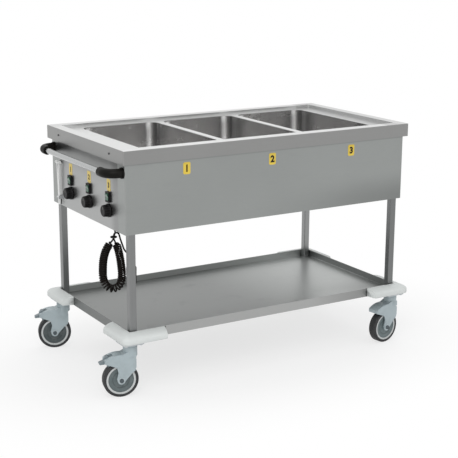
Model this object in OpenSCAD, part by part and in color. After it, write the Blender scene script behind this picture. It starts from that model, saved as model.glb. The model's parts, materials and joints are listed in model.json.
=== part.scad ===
// Heated food trolley: three wells in a pressed top, a boxed body with controls on its left end,
// four square legs, a tray shelf, corner bumpers, swivel casters and a curly mains cord.
// +Z is up, X runs along the trolley, the front faces -Y and the controls face -X.
// The origin lies on the floor, under the middle of the whole outline.

/* [Worktop] */
// Length of the top over its skirt
top_l = 1200; // [1150:5:1300]
// Width of the top over its skirt
top_w = 640; // [620:5:700]
// Height of the top above the floor
top_h = 865; // [840:5:950]
// Height of the skirt under the raised rim
skirt_h = 48; // [35:1:60]
// Width of the raised rim
rim_w = 40; // [30:1:44]
// Drop from the rim to the sunken deck
deck_drop = 12; // [6:1:20]
// Thickness of the steel sheet
sheet = 1.5; // [1:0.1:2]

/* [Wells] */
// Length of a well along the trolley
well_l = 310; // [300:1:314]
// Width of a well across the trolley
well_w = 510; // [480:1:516]
// Width of the bar between neighbouring wells
well_bar = 27; // [26:1:40]
// Depth of a well below the deck
well_depth = 200; // [150:5:210]
// Radius of the upright corners of a well
well_corner_r = 32; // [31:1:60]
// Radius between the walls and the floor of a well
well_floor_r = 25; // [10:1:30]
// Radius of the drain hole in a well
drain_r = 14; // [10:1:18]

/* [Body] */
// Distance from the skirt to the end faces of the body
body_inset_x = 12.5; // [8:0.5:20]
// Distance from the skirt to the long faces of the body
body_inset_y = 15; // [8:0.5:20]
// Height of the body below the top of the rim
body_h = 290; // [280:1:330]
// Length that the long panels return round each corner
corner_return = 55; // [45:1:70]
// Width of the folded flange under a panel
flange_w = 12; // [8:1:14]

/* [Legs and shelf] */
// Side of the square legs
leg_side = 25; // [20:1:30]
// Wall of the square legs
leg_wall = 1.5; // [1:0.1:3]
// Distance from the end face of the body to the legs
leg_inset_x = 15; // [8:1:30]
// Distance from the long face of the body to the legs
leg_inset_y = 7; // [4:1:20]
// Height of the shelf's tray floor above the floor
shelf_h = 208; // [206:1:240]
// Height of the tray's hemmed edge above its floor
shelf_edge_h = 25; // [15:1:40]
// Depth of the tray's edge below its floor
shelf_skirt_h = 8; // [6:1:12]
// Thickness of the tray's hemmed edge
shelf_edge_t = 3; // [2:0.5:5]
// Gap between the legs and the tray's edge
shelf_leg_gap = 2; // [1:0.5:6]

/* [Bumpers] */
// Distance that a bumper stands proud of the tray
bumper_t = 42; // [30:1:50]
// Length of a bumper's arms along the tray
bumper_arm = 140; // [120:1:180]
// Height of a bumper
bumper_h = 37; // [30:1:45]
// Radius of a bumper's outer corner
bumper_r = 28; // [15:1:30]
// Radius along a bumper's top edge
bumper_edge_r = 4; // [2:0.5:8]

/* [Casters] */
// Radius of a wheel over its tyre
wheel_r = 62.5; // [50:0.5:65]
// Width of a tyre
tyre_w = 32; // [25:1:34]
// Radius of the wheel's centre inside its tyre
centre_r = 52; // [40:0.5:55]
// Radius of the swivel head
head_r = 25; // [22:0.5:28]
// Height of the swivel head's top above the floor
head_h = 186; // [184:1:188]
// Distance that the wheel trails behind its swivel axis
trail = 36; // [25:1:40]
// Width of the fork over its cheeks
fork_w = 46; // [44:1:52]
// Thickness of a fork's cheek
cheek_t = 4.5; // [3:0.5:5]
// Radius of the axle
axle_r = 5; // [4:0.5:6]
// Radius of the kingpin
kingpin_r = 6; // [5:0.5:8]
// Swivel angle of the front left caster as it stands
turn_front_left = -14; // [-20:1:20]
// Swivel angle of the front right caster as it stands
turn_front_right = 8; // [-20:1:20]
// Swivel angle of the back left caster as it stands
turn_back_left = -19; // [-19:1:20]
// Swivel angle of the back right caster as it stands
turn_back_right = 0; // [-20:1:20]

/* [Controls] */
// Distance between the centres of neighbouring control sets
control_pitch = 159; // [120:1:160]
// Distance of the middle set from the trolley's middle line
control_shift = -21; // [-30:1:0]
// Distance of the knobs' centres below the top
knob_drop = 227; // [200:1:235]
// Radius of a knob's skirt
knob_r = 24; // [18:0.5:26]
// Depth of a knob
knob_d = 25; // [18:1:30]
// Flutes round a knob
knob_flutes = 10; // [6:1:14]
// Gap between a knob and the switch's frame over it
switch_gap = 4.5; // [2:0.5:8]
// Width of a switch's frame
switch_w = 27; // [24:1:32]
// Height of a switch's frame
switch_l = 37; // [32:1:40]
// Distance that a switch's frame stands proud
switch_proud = 8; // [5:0.5:10]
// Width of a number plate
plate_w = 28; // [20:1:34]
// Height of a number plate
plate_l = 42; // [30:1:44]
// Thickness of a number plate
plate_t = 0.6; // [0.4:0.1:1.5]
// Distance between the number plates on the front
plate_pitch = 348; // [320:1:360]
// Distance of the front number plates' centres below the top
plate_drop = 82; // [72:1:120]
// Gap between a switch's frame and the number plate over it
plate_gap = 1.5; // [1:0.5:8]

/* [Push handle] */
// Radius of the handle's tube
tube_r = 10; // [8:0.5:13]
// Distance of the handle's axis below the top
handle_drop = 79; // [73:1:90]
// Distance of the tube's axis from the control panel
handle_reach = 52; // [48:1:70]
// Radius of a handle bracket at the tube
bracket_r = 16; // [14:0.5:18]
// Radius of a handle bracket's foot on the panel
foot_r = 19; // [17:0.5:20]

/* [Drain lever] */
// Distance from the back face of the body to the lever
lever_inset = 74; // [70:1:90]
// Height of the lever's pivot above the underside of the body
lever_rise = 31; // [25:1:40]
// Length of the lever above its pivot
lever_l = 132; // [100:1:135]
// Radius of the lever's rod
lever_rod_r = 2.5; // [2:0.25:3]

/* [Hidden] */
$fn = 48;
// Hair's breadth by which a cut runs past a face
cut = 1;
// Radial gap of a shaft that turns in a bore
running_gap = 0.05;
// Gap between pieces that pass each other
free_gap = 0.5;
// Gap round a fixed piece that sits in a hole
seat_gap = 0.1;
// Rounding of a folded edge of sheet steel
fold_r = 3;

// Heights and half sizes that follow from the sizes above
deck_z = top_h - deck_drop;
skirt_z = top_h - skirt_h;
body_z = top_h - body_h;
pan_z = body_z + sheet;
body_hx = top_l / 2 - body_inset_x;
body_hy = top_w / 2 - body_inset_y;
panel_top_z = top_h - sheet;
leg_hx = body_hx - leg_inset_x;
leg_hy = body_hy - leg_inset_y;
leg_top_z = deck_z - sheet;
tray_hx = leg_hx + shelf_leg_gap + shelf_edge_t;
tray_hy = leg_hy + shelf_leg_gap + shelf_edge_t;
tray_bottom_z = shelf_h - shelf_skirt_h;
well_pitch = well_l + well_bar;
well_bottom_z = deck_z - well_depth;
outer_corner_r = 4;

// Details of the top, the wells and the body
deck_l = top_l - 2 * rim_w;
deck_w = top_w - 2 * rim_w;
deck_corner_r = 8;
well_flange = 8;
drain_inset = 50;
drain_y = well_w / 2 - drain_inset;
panel_seam = 0.3;
short_hy = body_hy - corner_return - panel_seam;
flange_hx = leg_hx - leg_side - cut;
leg_round = 3;
tray_corner_r = 4;
tray_inner_r = 1;

// Bumper and caster sizes
bumper_flange_t = 6;
bumper_flange_w = 80;
bumper_end_slant = 26;
caster_inset_x = 7.5;
caster_inset_y = 15;
caster_x = tray_hx - caster_inset_x;
caster_y = tray_hy - caster_inset_y;
caster_plate_t = 4;
caster_plate_w = 76;
caster_plate_z = tray_bottom_z - bumper_flange_t - caster_plate_t;
plate_corner_r = 6;
swivel_gap = free_gap;
kingpin_boss_r = 16;
kingpin_in = 51;
kingpin_end_z = head_h - kingpin_in;
head_l = 40;
head_base_z = head_h - head_l;
bolt_r = 6.5;
bolt_t = 4;
bolt_inset = 10;
bolt_place = caster_plate_w / 2 - bolt_inset;
head_ring_h = 5;
head_groove = 1.5;
fork_slot_w = fork_w - 2 * cheek_t;
hood_r = 96;
hood_u = 40;
hood_z = 60;
hood_nose = 17;
hood_tail_u = 93;
hood_tail_z = 127;
hood_under = [[0, 0], [14, -5], [31, -12], [42, -17]];
shoulder_z = 164;
shoulder_r = 8;
shoulder_foot = [-46, 150];
shoulder_top_u = -14;
cheek_edge = [[-10, 29.5], [-16, 3.5], [11, -5.5], [36, 22], [49, 33], [53, 45]];
wheel_clear_r = wheel_r + 4;
fork_end_r = 14;
tyre_crown = 4;
boss_r = 13;
boss_hl = fork_slot_w / 2 - free_gap;
web_ht = 12;
ridge_r = 28;
ridge_w = 3;
ridge_h = 1;
rim_ring_w = 7;
rim_ht = 15;
washer_r = 10;
washer_t = 1;
nut_r = 8;
nut_t = 4.5;

// Brake pedal, with its outline about its own pin
brake_u = 84;
brake_z = 132;
brake_w = 22;
brake_pocket_u = 64;
brake_pin_r = 3;
brake_hub_r = 7;
brake_tip_u = 107;
brake_tip_z = 126;
brake_tip_r = 3.5;
brake_bend = [[-12, 2], [-12, -9]];
brake_pad = [[5, 4], [9, 16], [3, 20], [-5, 17], [-5, 4]];
brake_shoe = [[6, -2], [11, -17], [7, -20], [2, -18], [-4, -5]];

// Handle, controls and the parts behind the panels
handle_inset = 60;
handle_hy = body_hy - handle_inset;
handle_h = top_h - handle_drop;
bend_r = 41;
foot_y = handle_hy + bend_r;
foot_t = 5;
socket_l = 20;
bush_r = 5;
spindle_r = 3;
spindle_l = 22;
knob_h = top_h - knob_drop;
switch_h = knob_h + knob_r + switch_gap + switch_l / 2;
plate_h = top_h - plate_drop;
panel_plate_h = switch_h + switch_l / 2 + plate_gap + plate_l / 2;
thermostat_w = 40;
thermostat_d = 30;
knob_skirt_t = 7;
knob_edge_r = 1.5;
knob_grip_r = knob_r - 6;
knob_top_r = 2;
knob_flute_r = 3;
knob_flute_lift = 1;
pointer_w = 2.5;
pointer_t = 0.8;
switch_round = 2;
switch_body_w = switch_w - 2;
switch_body_l = switch_l - 4;
switch_body_d = 28;
rocker_out = 3.5;
rocker_w = switch_w - 7;
rocker_r = switch_l / 2 - 6;
rocker_gap = free_gap;
rocker_well_d = 4;
rocker_pin_r = 1.5;
rocker_back = 5;
rocker_mid = 5;
rocker_end = 8;
rocker_tilt = -7;
plate_shift = -5;
plate_round = 6;
heater_inset_x = 35;
heater_inset_y = 20;
heater_l = well_l - 2 * heater_inset_x;
heater_w = well_w - 2 * heater_inset_y;
heater_t = 12;
heater_corner_r = 30;
heater_drain_gap = 8;
terminal_inset_x = 67.5;
terminal_inset_y = 115;
terminal_x = -body_hx + terminal_inset_x;
terminal_y = -body_hy + terminal_inset_y;
terminal_w = 30;
terminal_l = 90;
terminal_t = 18;
terminal_n = 6;
pipe_r = 12;
pipe_rise = 35.5;
pipe_z = pan_z + pipe_rise;
collar_w = 6;
valve_inset = 47.5;
valve_x = -body_hx + valve_inset;
valve_l = 50;
valve_r = 18;
spout_drop = 20;
screw_inset = 107.5;
screw_y = top_w / 2 - screw_inset;
screw_h = skirt_z + skirt_h / 2;
screw_r = 3.5;
screw_t = 2;
screw_slot = 1;

// Drain lever
lever_y = body_hy - lever_inset;
lever_pivot_h = body_z + lever_rise;
lever_out = 9.5;
lever_hub_r = 4.5;
lever_hub_l = 9;
lever_pin_r = 2;
lever_t = 3;
lever_neck_h = 34;
lever_foot_w = 11;
lever_tail_w = 9;
lever_tail_l = 27;
lever_tip_w = 6;
lever_lap = 6;
lever_foot_y = 3;
lever_top_y = 9;
lever_splay = atan((lever_top_y - lever_foot_y) / (lever_l - lever_neck_h + lever_lap));
grip_r = 6;
grip_l = 30;
ear_y = lever_hub_l / 2 + free_gap;
ear_t = 4;
ear_r = 6;
lever_slot_w = 2 * ear_y;

// Reach of the outline to the left and to the right, and the shift that centres it
function pedal_reach(turn) = caster_x + (brake_tip_u + brake_tip_r) * cos(turn)
    + brake_w / 2 * abs(sin(turn));
left_reach = max(pedal_reach(turn_front_left), pedal_reach(turn_back_left));
right_reach = tray_hx + bumper_t;
body_x = (left_reach - right_reach) / 2;

// Middle of a control set, for 1, 0 and -1 from the back
function control_y(i) = control_shift + i * control_pitch;

// Gland, and the frame in which the cord hangs: u across it, v behind it, z up from the lead's top
gland_inset_x = 21.5;
gland_inset_y = 127;
gland_x = -body_hx + gland_inset_x;
gland_y = -body_hy + gland_inset_y;
gland_neck_r = 5;
gland_nut_r = 7.5;
gland_nut_h = 7.5;
relief_top_r = 4.6;
relief_tip_r = 3.6;
relief_l = 7;
cord_turn = -31;
cord_r = 3;
cord_seam = 0.5;
lead_top_z = pan_z - gland_nut_h - relief_l - cord_seam;

// Curly part of the cord: radius of its curls, step from curl to curl and the path of its middle
curl_r = 11.8;
curl_step = 7;
curl_gap = 1.1;
curl_rings = 8;
cord_sides = 6;
ramp_l = 15.5;
ramp_step = 16;
lead_end = [-8.5, -5.5, -31];
tail_start = [-3, 7.5, -36];
coil_path = [lead_end, [-19, -9, -45], [-32, -8, -67], [-42, -5, -104], [-45, -1, -148], [-35, 0, -188],
    [-9, 0, -206], [13, 2, -188], [20.5, 5, -148], [15.5, 9.5, -104], [7.5, 13, -66], tail_start];

// Paths of the plain lead and of the plain tail
lead_path = [[0, 0, 0], [0, 0, -6], [-2.3, -1.9, -13], [-4.8, -3.3, -19.5], [-5.8, -3.8, -25], lead_end];
tail_path = [tail_start, [-5.1, 4, -27], [-5.3, 3.5, -18], [-2.9, 5.5, -10.9], [3.7, 8.1, -8],
    [10, 11.6, -10.9], [13.2, 13.4, -18.5], [16, 15.5, -31], [21.5, 19.5, -50], [28, 24, -71], [36.5, 28.5, -84],
    [46, 31.5, -93], [51.5, 32, -104], [51.5, 32, -113]];
lead_sides = 8;
lead_rings = 14;
tail_rings = 44;

// Plug, hanging straight down from the tail's end
plug_r = 18.5;
plug_l = 66;
plug_neck_r = 7;
plug_neck_l = 18;
plug_edge_r = 5;
pin_r = 2.4;
pin_l = 19;
pin_y = 9.5;

// Ring that ties the lead and the tail together
ring_r = 9.5;
ring_rod_r = 2.6;
ring_place = [-5.1, 0, -21];

// Every node is drawn about the trolley's own middle, and then set over the origin
module in_place() translate([body_x, 0, 0]) children();

// Rectangle with round corners, from squares and circles
module round_rect(l, w, r) {
    square([l - 2 * r, w], center = true);
    square([l, w - 2 * r], center = true);
    for (sx = [-1, 1], sy = [-1, 1])
        translate([sx * (l / 2 - r), sy * (w / 2 - r)]) circle(r);
}

// Upright plate with round corners
module round_plate(l, w, h, r) linear_extrude(h) round_rect(l, w, r);

// Tub with upright round corners and a round edge at its floor, going down from z = 0
module tub(l, w, h, corner_r, floor_r) {
    module side(width) {
        translate([-width / 2, -h + floor_r]) square([width, h - floor_r]);
        translate([-width / 2 + floor_r, -h]) square([width - 2 * floor_r, h]);
        for (s = [-1, 1]) translate([s * (width / 2 - floor_r), -h + floor_r]) circle(floor_r);
    }
    translate([0, w / 2 - corner_r, 0]) rotate([90, 0, 0]) linear_extrude(w - 2 * corner_r) side(l);
    translate([-l / 2 + corner_r, 0, 0]) rotate([90, 0, 90]) linear_extrude(l - 2 * corner_r) side(w);
    for (sx = [-1, 1], sy = [-1, 1])
        translate([sx * (l / 2 - corner_r), sy * (w / 2 - corner_r), 0])
            rotate_extrude() intersection() {
                side(2 * corner_r);
                translate([0, -h]) square([corner_r, h]);
            }
}

// Pressed top: raised rim, skirt with a folded lip, and the sunken deck with its three openings
module worktop() color("silver") in_place() difference() {
    union() {
        difference() {
            translate([0, 0, skirt_z]) mirror([0, 0, 1])
                tub(top_l, top_w, skirt_h, outer_corner_r, fold_r);
            translate([0, 0, skirt_z - cut]) mirror([0, 0, 1])
                tub(top_l - 2 * sheet, top_w - 2 * sheet, skirt_h - sheet + cut,
                    outer_corner_r - sheet, fold_r - sheet);
            translate([0, 0, skirt_z]) round_plate(deck_l, deck_w, skirt_h + cut, deck_corner_r);
        }
        difference() {
            translate([0, 0, leg_top_z])
                round_plate(deck_l + 2 * sheet, deck_w + 2 * sheet, deck_drop + sheet, deck_corner_r + sheet);
            translate([0, 0, deck_z]) round_plate(deck_l, deck_w, deck_drop + cut, deck_corner_r);
        }
        difference() {
            translate([0, 0, skirt_z]) round_plate(top_l, top_w, sheet, outer_corner_r);
            translate([-body_hx, -body_hy, skirt_z - cut]) cube([2 * body_hx, 2 * body_hy, sheet + 2 * cut]);
        }
    }
    for (i = [-1:1])
        translate([i * well_pitch, 0, leg_top_z - cut])
            round_plate(well_l, well_w, sheet + 2 * cut, well_corner_r);
}

// Pressed water well with a flange that is welded under the deck
module well(i) color("gainsboro") in_place() translate([i * well_pitch, 0, leg_top_z]) difference() {
    union() {
        tub(well_l + 2 * sheet, well_w + 2 * sheet, well_depth, well_corner_r + sheet, well_floor_r + sheet);
        translate([0, 0, -sheet])
            round_plate(well_l + 2 * well_flange, well_w + 2 * well_flange, sheet,
                well_corner_r + well_flange);
    }
    translate([0, 0, cut])
        tub(well_l, well_w, well_depth - sheet + cut, well_corner_r, well_floor_r);
    translate([0, drain_y, -well_depth - cut]) cylinder(r = drain_r, h = sheet + 2 * cut);
}
module well_1() well(-1);
module well_2() well(0);
module well_3() well(1);

// Long panel that wraps both corners, with a folded flange between the legs; side is -1 or 1
module long_panel(side) color("darkgray") in_place() scale([1, side, 1]) {
    translate([0, 0, body_z]) linear_extrude(panel_top_z - body_z) intersection() {
        difference() {
            round_rect(2 * body_hx, 2 * body_hy, fold_r);
            round_rect(2 * (body_hx - sheet), 2 * (body_hy - sheet), fold_r - sheet);
        }
        translate([-body_hx - cut, body_hy - corner_return])
            square([2 * (body_hx + cut), corner_return + cut]);
    }
    translate([-flange_hx, body_hy - sheet - flange_w, body_z]) cube([2 * flange_hx, flange_w, sheet]);
}
module front_panel() long_panel(-1);
module back_panel() long_panel(1);

// Short panel between the corner returns; side is -1 for the left end
module short_panel(side) {
    translate([side > 0 ? body_hx - sheet : -body_hx, -short_hy, body_z])
        cube([sheet, 2 * short_hy, panel_top_z - body_z]);
    translate([side > 0 ? body_hx - sheet - flange_w : -body_hx + sheet, -short_hy, body_z])
        cube([flange_w, 2 * short_hy, sheet]);
}
module end_panel() color("darkgray") in_place() short_panel(1);

// Control panel with holes for the spindles and switches and a slot for the drain lever's tail
module control_panel() color("darkgray") in_place() difference() {
    short_panel(-1);
    for (i = [-1:1]) {
        translate([-body_hx - cut, control_y(i), knob_h]) rotate([0, 90, 0])
            cylinder(r = bush_r + seat_gap, h = sheet + 2 * cut);
        translate([-body_hx - cut, control_y(i) - switch_body_w / 2, switch_h - switch_body_l / 2])
            cube([sheet + 2 * cut, switch_body_w, switch_body_l]);
    }
    translate([-body_hx - cut, lever_y - lever_slot_w / 2, body_z + 2 * sheet])
        cube([sheet + 2 * cut, lever_slot_w, lever_pivot_h - body_z - 2 * sheet]);
}

// Floor of the body, notched round the legs, with holes for the mains lead and the drain
module bottom_pan() color("gray") in_place() difference() {
    translate([0, 0, pan_z])
        round_plate(2 * (body_hx - sheet), 2 * (body_hy - sheet), sheet, fold_r - sheet);
    for (sx = [-1, 1], sy = [-1, 1])
        translate([sx * (leg_hx - leg_side / 2), sy * (leg_hy - leg_side / 2), pan_z - cut])
            linear_extrude(sheet + 2 * cut) square(leg_side, center = true);
    translate([gland_x, gland_y, pan_z - cut]) cylinder(r = gland_neck_r + seat_gap, h = sheet + 2 * cut);
    translate([valve_x, drain_y, pan_z - cut]) cylinder(r = pipe_r + seat_gap, h = sheet + 2 * cut);
}

// Square leg from the bumper's flange, through the tray's floor, to the underside of the deck
module leg(sx, sy) color("darkgray") in_place()
    translate([sx * (leg_hx - leg_side / 2), sy * (leg_hy - leg_side / 2), tray_bottom_z])
        linear_extrude(leg_top_z - tray_bottom_z) difference() {
            round_rect(leg_side, leg_side, leg_round);
            round_rect(leg_side - 2 * leg_wall, leg_side - 2 * leg_wall, leg_round / 2);
        }
module leg_front_left() leg(-1, -1);
module leg_front_right() leg(1, -1);
module leg_back_left() leg(-1, 1);
module leg_back_right() leg(1, 1);

// Tray shelf with an upright hemmed edge and a hole in its floor for each leg
module shelf() color("silver") in_place() difference() {
    translate([0, 0, tray_bottom_z])
        round_plate(2 * tray_hx, 2 * tray_hy, shelf_skirt_h + shelf_edge_h, tray_corner_r);
    translate([0, 0, shelf_h])
        round_plate(2 * (tray_hx - shelf_edge_t), 2 * (tray_hy - shelf_edge_t),
            shelf_edge_h + cut, tray_inner_r);
    translate([0, 0, tray_bottom_z - cut])
        round_plate(2 * (tray_hx - shelf_edge_t), 2 * (tray_hy - shelf_edge_t),
            shelf_skirt_h - sheet + cut, tray_inner_r);
    for (sx = [-1, 1], sy = [-1, 1])
        translate([sx * (leg_hx - leg_side / 2), sy * (leg_hy - leg_side / 2), tray_bottom_z])
            round_plate(leg_side + 2 * seat_gap, leg_side + 2 * seat_gap, shelf_skirt_h + cut,
                leg_round + seat_gap);
}

// Moulded bumper round a corner of the tray; it is drawn for the corner at +X and +Y
module bumper(sx, sy) color("gainsboro") in_place() scale([sx, sy, 1])
    translate([tray_hx, tray_hy, tray_bottom_z]) {
        difference() {
            bumper_arms();
            linear_extrude(bumper_h + cut) bumper_slant();
            linear_extrude(bumper_h + cut) mirror([1, -1]) bumper_slant();
        }
        translate([caster_x - tray_hx - bumper_flange_w / 2, caster_y - tray_hy - bumper_flange_w / 2,
            -bumper_flange_t]) linear_extrude(bumper_flange_t) square(bumper_flange_w);
    }

// Outline cut from the end of a bumper's arm along X
module bumper_slant() polygon([[-bumper_arm, 0], [-bumper_arm + bumper_end_slant, bumper_t],
    [-bumper_arm + bumper_end_slant, bumper_t + cut], [-bumper_arm - cut, bumper_t + cut],
    [-bumper_arm - cut, 0]]);

// The two arms of a bumper and the round corner between them, to the full length
module bumper_arms() {
    module profile() {
        square([bumper_t, bumper_h - bumper_edge_r]);
        square([bumper_t - bumper_edge_r, bumper_h]);
        translate([bumper_t - bumper_edge_r, bumper_h - bumper_edge_r]) circle(bumper_edge_r);
    }
    corner = bumper_t - bumper_r;
    translate([-bumper_arm, 0, 0]) rotate([90, 0, 90]) linear_extrude(bumper_arm + corner) profile();
    mirror([1, -1, 0]) translate([-bumper_arm, 0, 0])
        rotate([90, 0, 90]) linear_extrude(bumper_arm + corner) profile();
    translate([corner, corner, 0]) rotate_extrude(angle = 90) intersection() {
        translate([-corner, 0]) profile();
        square([bumper_r, bumper_h]);
    }
}
module bumper_front_left() bumper(-1, -1);
module bumper_front_right() bumper(1, -1);
module bumper_back_left() bumper(-1, 1);
module bumper_back_right() bumper(1, 1);

// Push handle: a round tube between two moulded elbows
module handle_tube() color("silver") in_place()
    translate([-body_hx - handle_reach, handle_hy, handle_h]) rotate([90, 0, 0])
        cylinder(r = tube_r, h = 2 * handle_hy);
module handle_bracket(side) color("#202020") in_place() scale([1, side, 1])
    translate([-body_hx, foot_y, handle_h]) {
        rotate([0, -90, 0]) cylinder(r = foot_r, h = foot_t);
        rotate([0, -90, 0]) cylinder(r = bracket_r, h = handle_reach - bend_r);
        translate([-handle_reach + bend_r, -bend_r, 0]) rotate([0, 0, 90])
            rotate_extrude(angle = 90) translate([bend_r, 0]) circle(bracket_r);
        translate([-handle_reach, -bend_r, 0]) rotate([90, 0, 0]) difference() {
            cylinder(r = bracket_r, h = socket_l);
            cylinder(r = tube_r + running_gap, h = socket_l + cut);
        }
    }
module handle_bracket_front() handle_bracket(-1);
module handle_bracket_back() handle_bracket(1);

// Flat heating element under each well, with room for the drain
module heaters() color("sienna") in_place() for (i = [-1:1])
    translate([i * well_pitch, 0, well_bottom_z - sheet - heater_t]) difference() {
        round_plate(heater_l, heater_w, heater_t, heater_corner_r);
        translate([0, drain_y, -cut]) cylinder(r = drain_r + heater_drain_gap, h = heater_t + 2 * cut);
    }

// Thermostat behind the panel, with the bush that takes the knob's spindle
module thermostats() color("ivory") in_place() for (i = [-1:1])
    translate([-body_hx, control_y(i), knob_h]) difference() {
        union() {
            rotate([0, 90, 0]) cylinder(r = bush_r, h = sheet + cut);
            translate([sheet, -thermostat_w / 2, -thermostat_w / 2])
                cube([thermostat_d, thermostat_w, thermostat_w]);
        }
        translate([-cut, 0, 0]) rotate([0, 90, 0])
            cylinder(r = spindle_r + running_gap, h = spindle_l + cut + free_gap);
    }

// Terminal block on the floor of the body
module terminal_block() color("ivory") in_place() translate([terminal_x, terminal_y, pan_z + sheet]) {
    translate([-terminal_w / 2, -terminal_l / 2, 0]) cube([terminal_w, terminal_l, terminal_t]);
    for (i = [0:terminal_n - 1])
        translate([-terminal_w / 4,
            (i - (terminal_n - 1) / 2) * terminal_l / terminal_n - terminal_l / 24, 0])
            cube([terminal_w / 2, terminal_l / 12, terminal_t * 1.4]);
}

// Switch housing: frame on the panel's face, body behind it and the rocker's cross pin
module switch_housings() color("#202020") in_place() for (i = [-1:1])
    translate([-body_hx, control_y(i), switch_h]) {
        difference() {
            union() {
                translate([-switch_proud, 0, 0]) rotate([90, 0, 90])
                    round_plate(switch_w, switch_l, switch_proud, switch_round);
                translate([0, -switch_body_w / 2, -switch_body_l / 2])
                    cube([switch_body_d, switch_body_w, switch_body_l]);
            }
            translate([-switch_proud - cut, -rocker_w / 2 - rocker_gap, -rocker_r - rocker_gap])
                cube([switch_proud + cut + rocker_well_d, rocker_w + 2 * rocker_gap,
                    2 * (rocker_r + rocker_gap)]);
        }
        translate([-rocker_out, rocker_w / 2 + rocker_gap, 0]) rotate([90, 0, 0])
            cylinder(r = rocker_pin_r, h = rocker_w + 2 * rocker_gap);
    }

// Rocker with a shallow V face, tipped to its off side
module rocker(i) color("seagreen") in_place()
    translate([-body_hx - rocker_out, control_y(i), switch_h]) rotate([0, rocker_tilt, 0])
        rotate([90, 0, 0]) linear_extrude(rocker_w, center = true) difference() {
            intersection() {
                circle(rocker_r);
                polygon([[rocker_back, -rocker_r], [rocker_back, rocker_r],
                    [-rocker_end, rocker_r], [-rocker_mid, 0], [-rocker_end, -rocker_r]]);
            }
            circle(rocker_pin_r + running_gap);
        }
module rocker_1() rocker(1);
module rocker_2() rocker(0);
module rocker_3() rocker(-1);

// Knob: skirt, fluted grip with a round edge, pointer ridge and spindle
module knob(i) color("#181818") in_place()
    translate([-body_hx - free_gap, control_y(i), knob_h]) rotate([0, -90, 0]) {
        difference() {
            rotate_extrude() {
                square([knob_r - knob_edge_r, knob_skirt_t]);
                square([knob_r, knob_skirt_t - knob_edge_r]);
                translate([knob_r - knob_edge_r, knob_skirt_t - knob_edge_r]) circle(knob_edge_r);
                square([knob_grip_r - knob_top_r, knob_d]);
                square([knob_grip_r, knob_d - knob_top_r]);
                translate([knob_grip_r - knob_top_r, knob_d - knob_top_r]) circle(knob_top_r);
            }
            for (k = [0:knob_flutes - 1]) rotate([0, 0, (k + 0.5) * 360 / knob_flutes])
                translate([knob_grip_r + knob_flute_r / 2, 0, knob_skirt_t + knob_flute_lift])
                    cylinder(r = knob_flute_r, h = knob_d);
        }
        translate([knob_grip_r * 0.3, -pointer_w / 2, knob_d])
            cube([knob_grip_r * 0.45, pointer_w, pointer_t]);
        translate([0, 0, -spindle_l]) cylinder(r = spindle_r, h = spindle_l);
    }
module knob_1() knob(1);
module knob_2() knob(0);
module knob_3() knob(-1);

// Number plates, three on the front and one over each switch
module number_plates() color("gold") in_place() {
    for (i = [-1:1]) translate([plate_shift + i * plate_pitch, -body_hy, plate_h]) rotate([90, 0, 0])
        round_plate(plate_w, plate_l, plate_t, plate_round);
    for (i = [-1:1]) translate([-body_hx, control_y(i), panel_plate_h]) rotate([90, 0, -90])
        round_plate(plate_w, plate_l, plate_t, plate_round);
}

// Drain pipe under the wells, with a riser and collar at each drain hole
module drain_manifold() color("silver") in_place() difference() {
    union() {
        translate([valve_x + valve_l / 2, drain_y, pipe_z]) rotate([0, 90, 0])
            cylinder(r = pipe_r, h = well_pitch - valve_x - valve_l / 2 + pipe_r);
        for (i = [-1:1]) translate([i * well_pitch, drain_y, pipe_z]) {
            cylinder(r = pipe_r, h = well_bottom_z - sheet - pipe_z);
            translate([0, 0, well_bottom_z - sheet - pipe_z - heater_t])
                cylinder(r = drain_r + collar_w, h = heater_t);
        }
    }
    translate([valve_x + valve_l / 2 - cut, drain_y, pipe_z]) rotate([0, 90, 0])
        cylinder(r = pipe_r - sheet, h = well_pitch - valve_x - valve_l / 2 + cut);
    for (i = [-1:1]) translate([i * well_pitch, drain_y, pipe_z])
        cylinder(r = pipe_r - sheet, h = well_bottom_z - pipe_z);
}

// Drain valve with its outlet spout through the floor of the body
module drain_valve() color("goldenrod") in_place() translate([valve_x, drain_y, pipe_z]) {
    translate([-valve_l / 2, 0, 0]) rotate([0, 90, 0]) cylinder(r = valve_r, h = valve_l, $fn = 6);
    translate([0, 0, pan_z - pipe_z - spout_drop]) difference() {
        cylinder(r = pipe_r, h = pipe_z - pan_z + spout_drop);
        translate([0, 0, -cut]) cylinder(r = pipe_r - sheet, h = spout_drop + 2 * cut);
    }
}

// Drain lever: a hairpin of round rod over a flat tail that reaches in through the panel's slot
module drain_lever() color("white") in_place() translate([-body_hx - lever_out, lever_y, lever_pivot_h]) {
    difference() {
        union() {
            rotate([90, 0, 0]) cylinder(r = lever_hub_r, h = lever_hub_l, center = true);
            rotate([90, 0, 90]) linear_extrude(lever_t, center = true)
                polygon([[-lever_foot_w / 2, lever_neck_h], [lever_foot_w / 2, lever_neck_h],
                    [lever_tail_w / 2, 0], [lever_tip_w / 2, -lever_tail_l],
                    [-lever_tip_w / 2, -lever_tail_l], [-lever_tail_w / 2, 0]]);
        }
        rotate([90, 0, 0]) cylinder(r = lever_pin_r + running_gap, h = lever_hub_l + 2 * cut, center = true);
    }
    lever_rods();
}

// The two splayed rods of the lever and the bar across their tops
module lever_rods() {
    for (s = [-1, 1])
        translate([0, s * lever_foot_y, lever_neck_h - lever_lap]) rotate([-s * lever_splay, 0, 0])
            cylinder(r = lever_rod_r, h = (lever_l - lever_neck_h + lever_lap) / cos(lever_splay));
    translate([0, 0, lever_l]) rotate([90, 0, 0])
        cylinder(r = lever_rod_r, h = 2 * lever_top_y, center = true);
}

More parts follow.
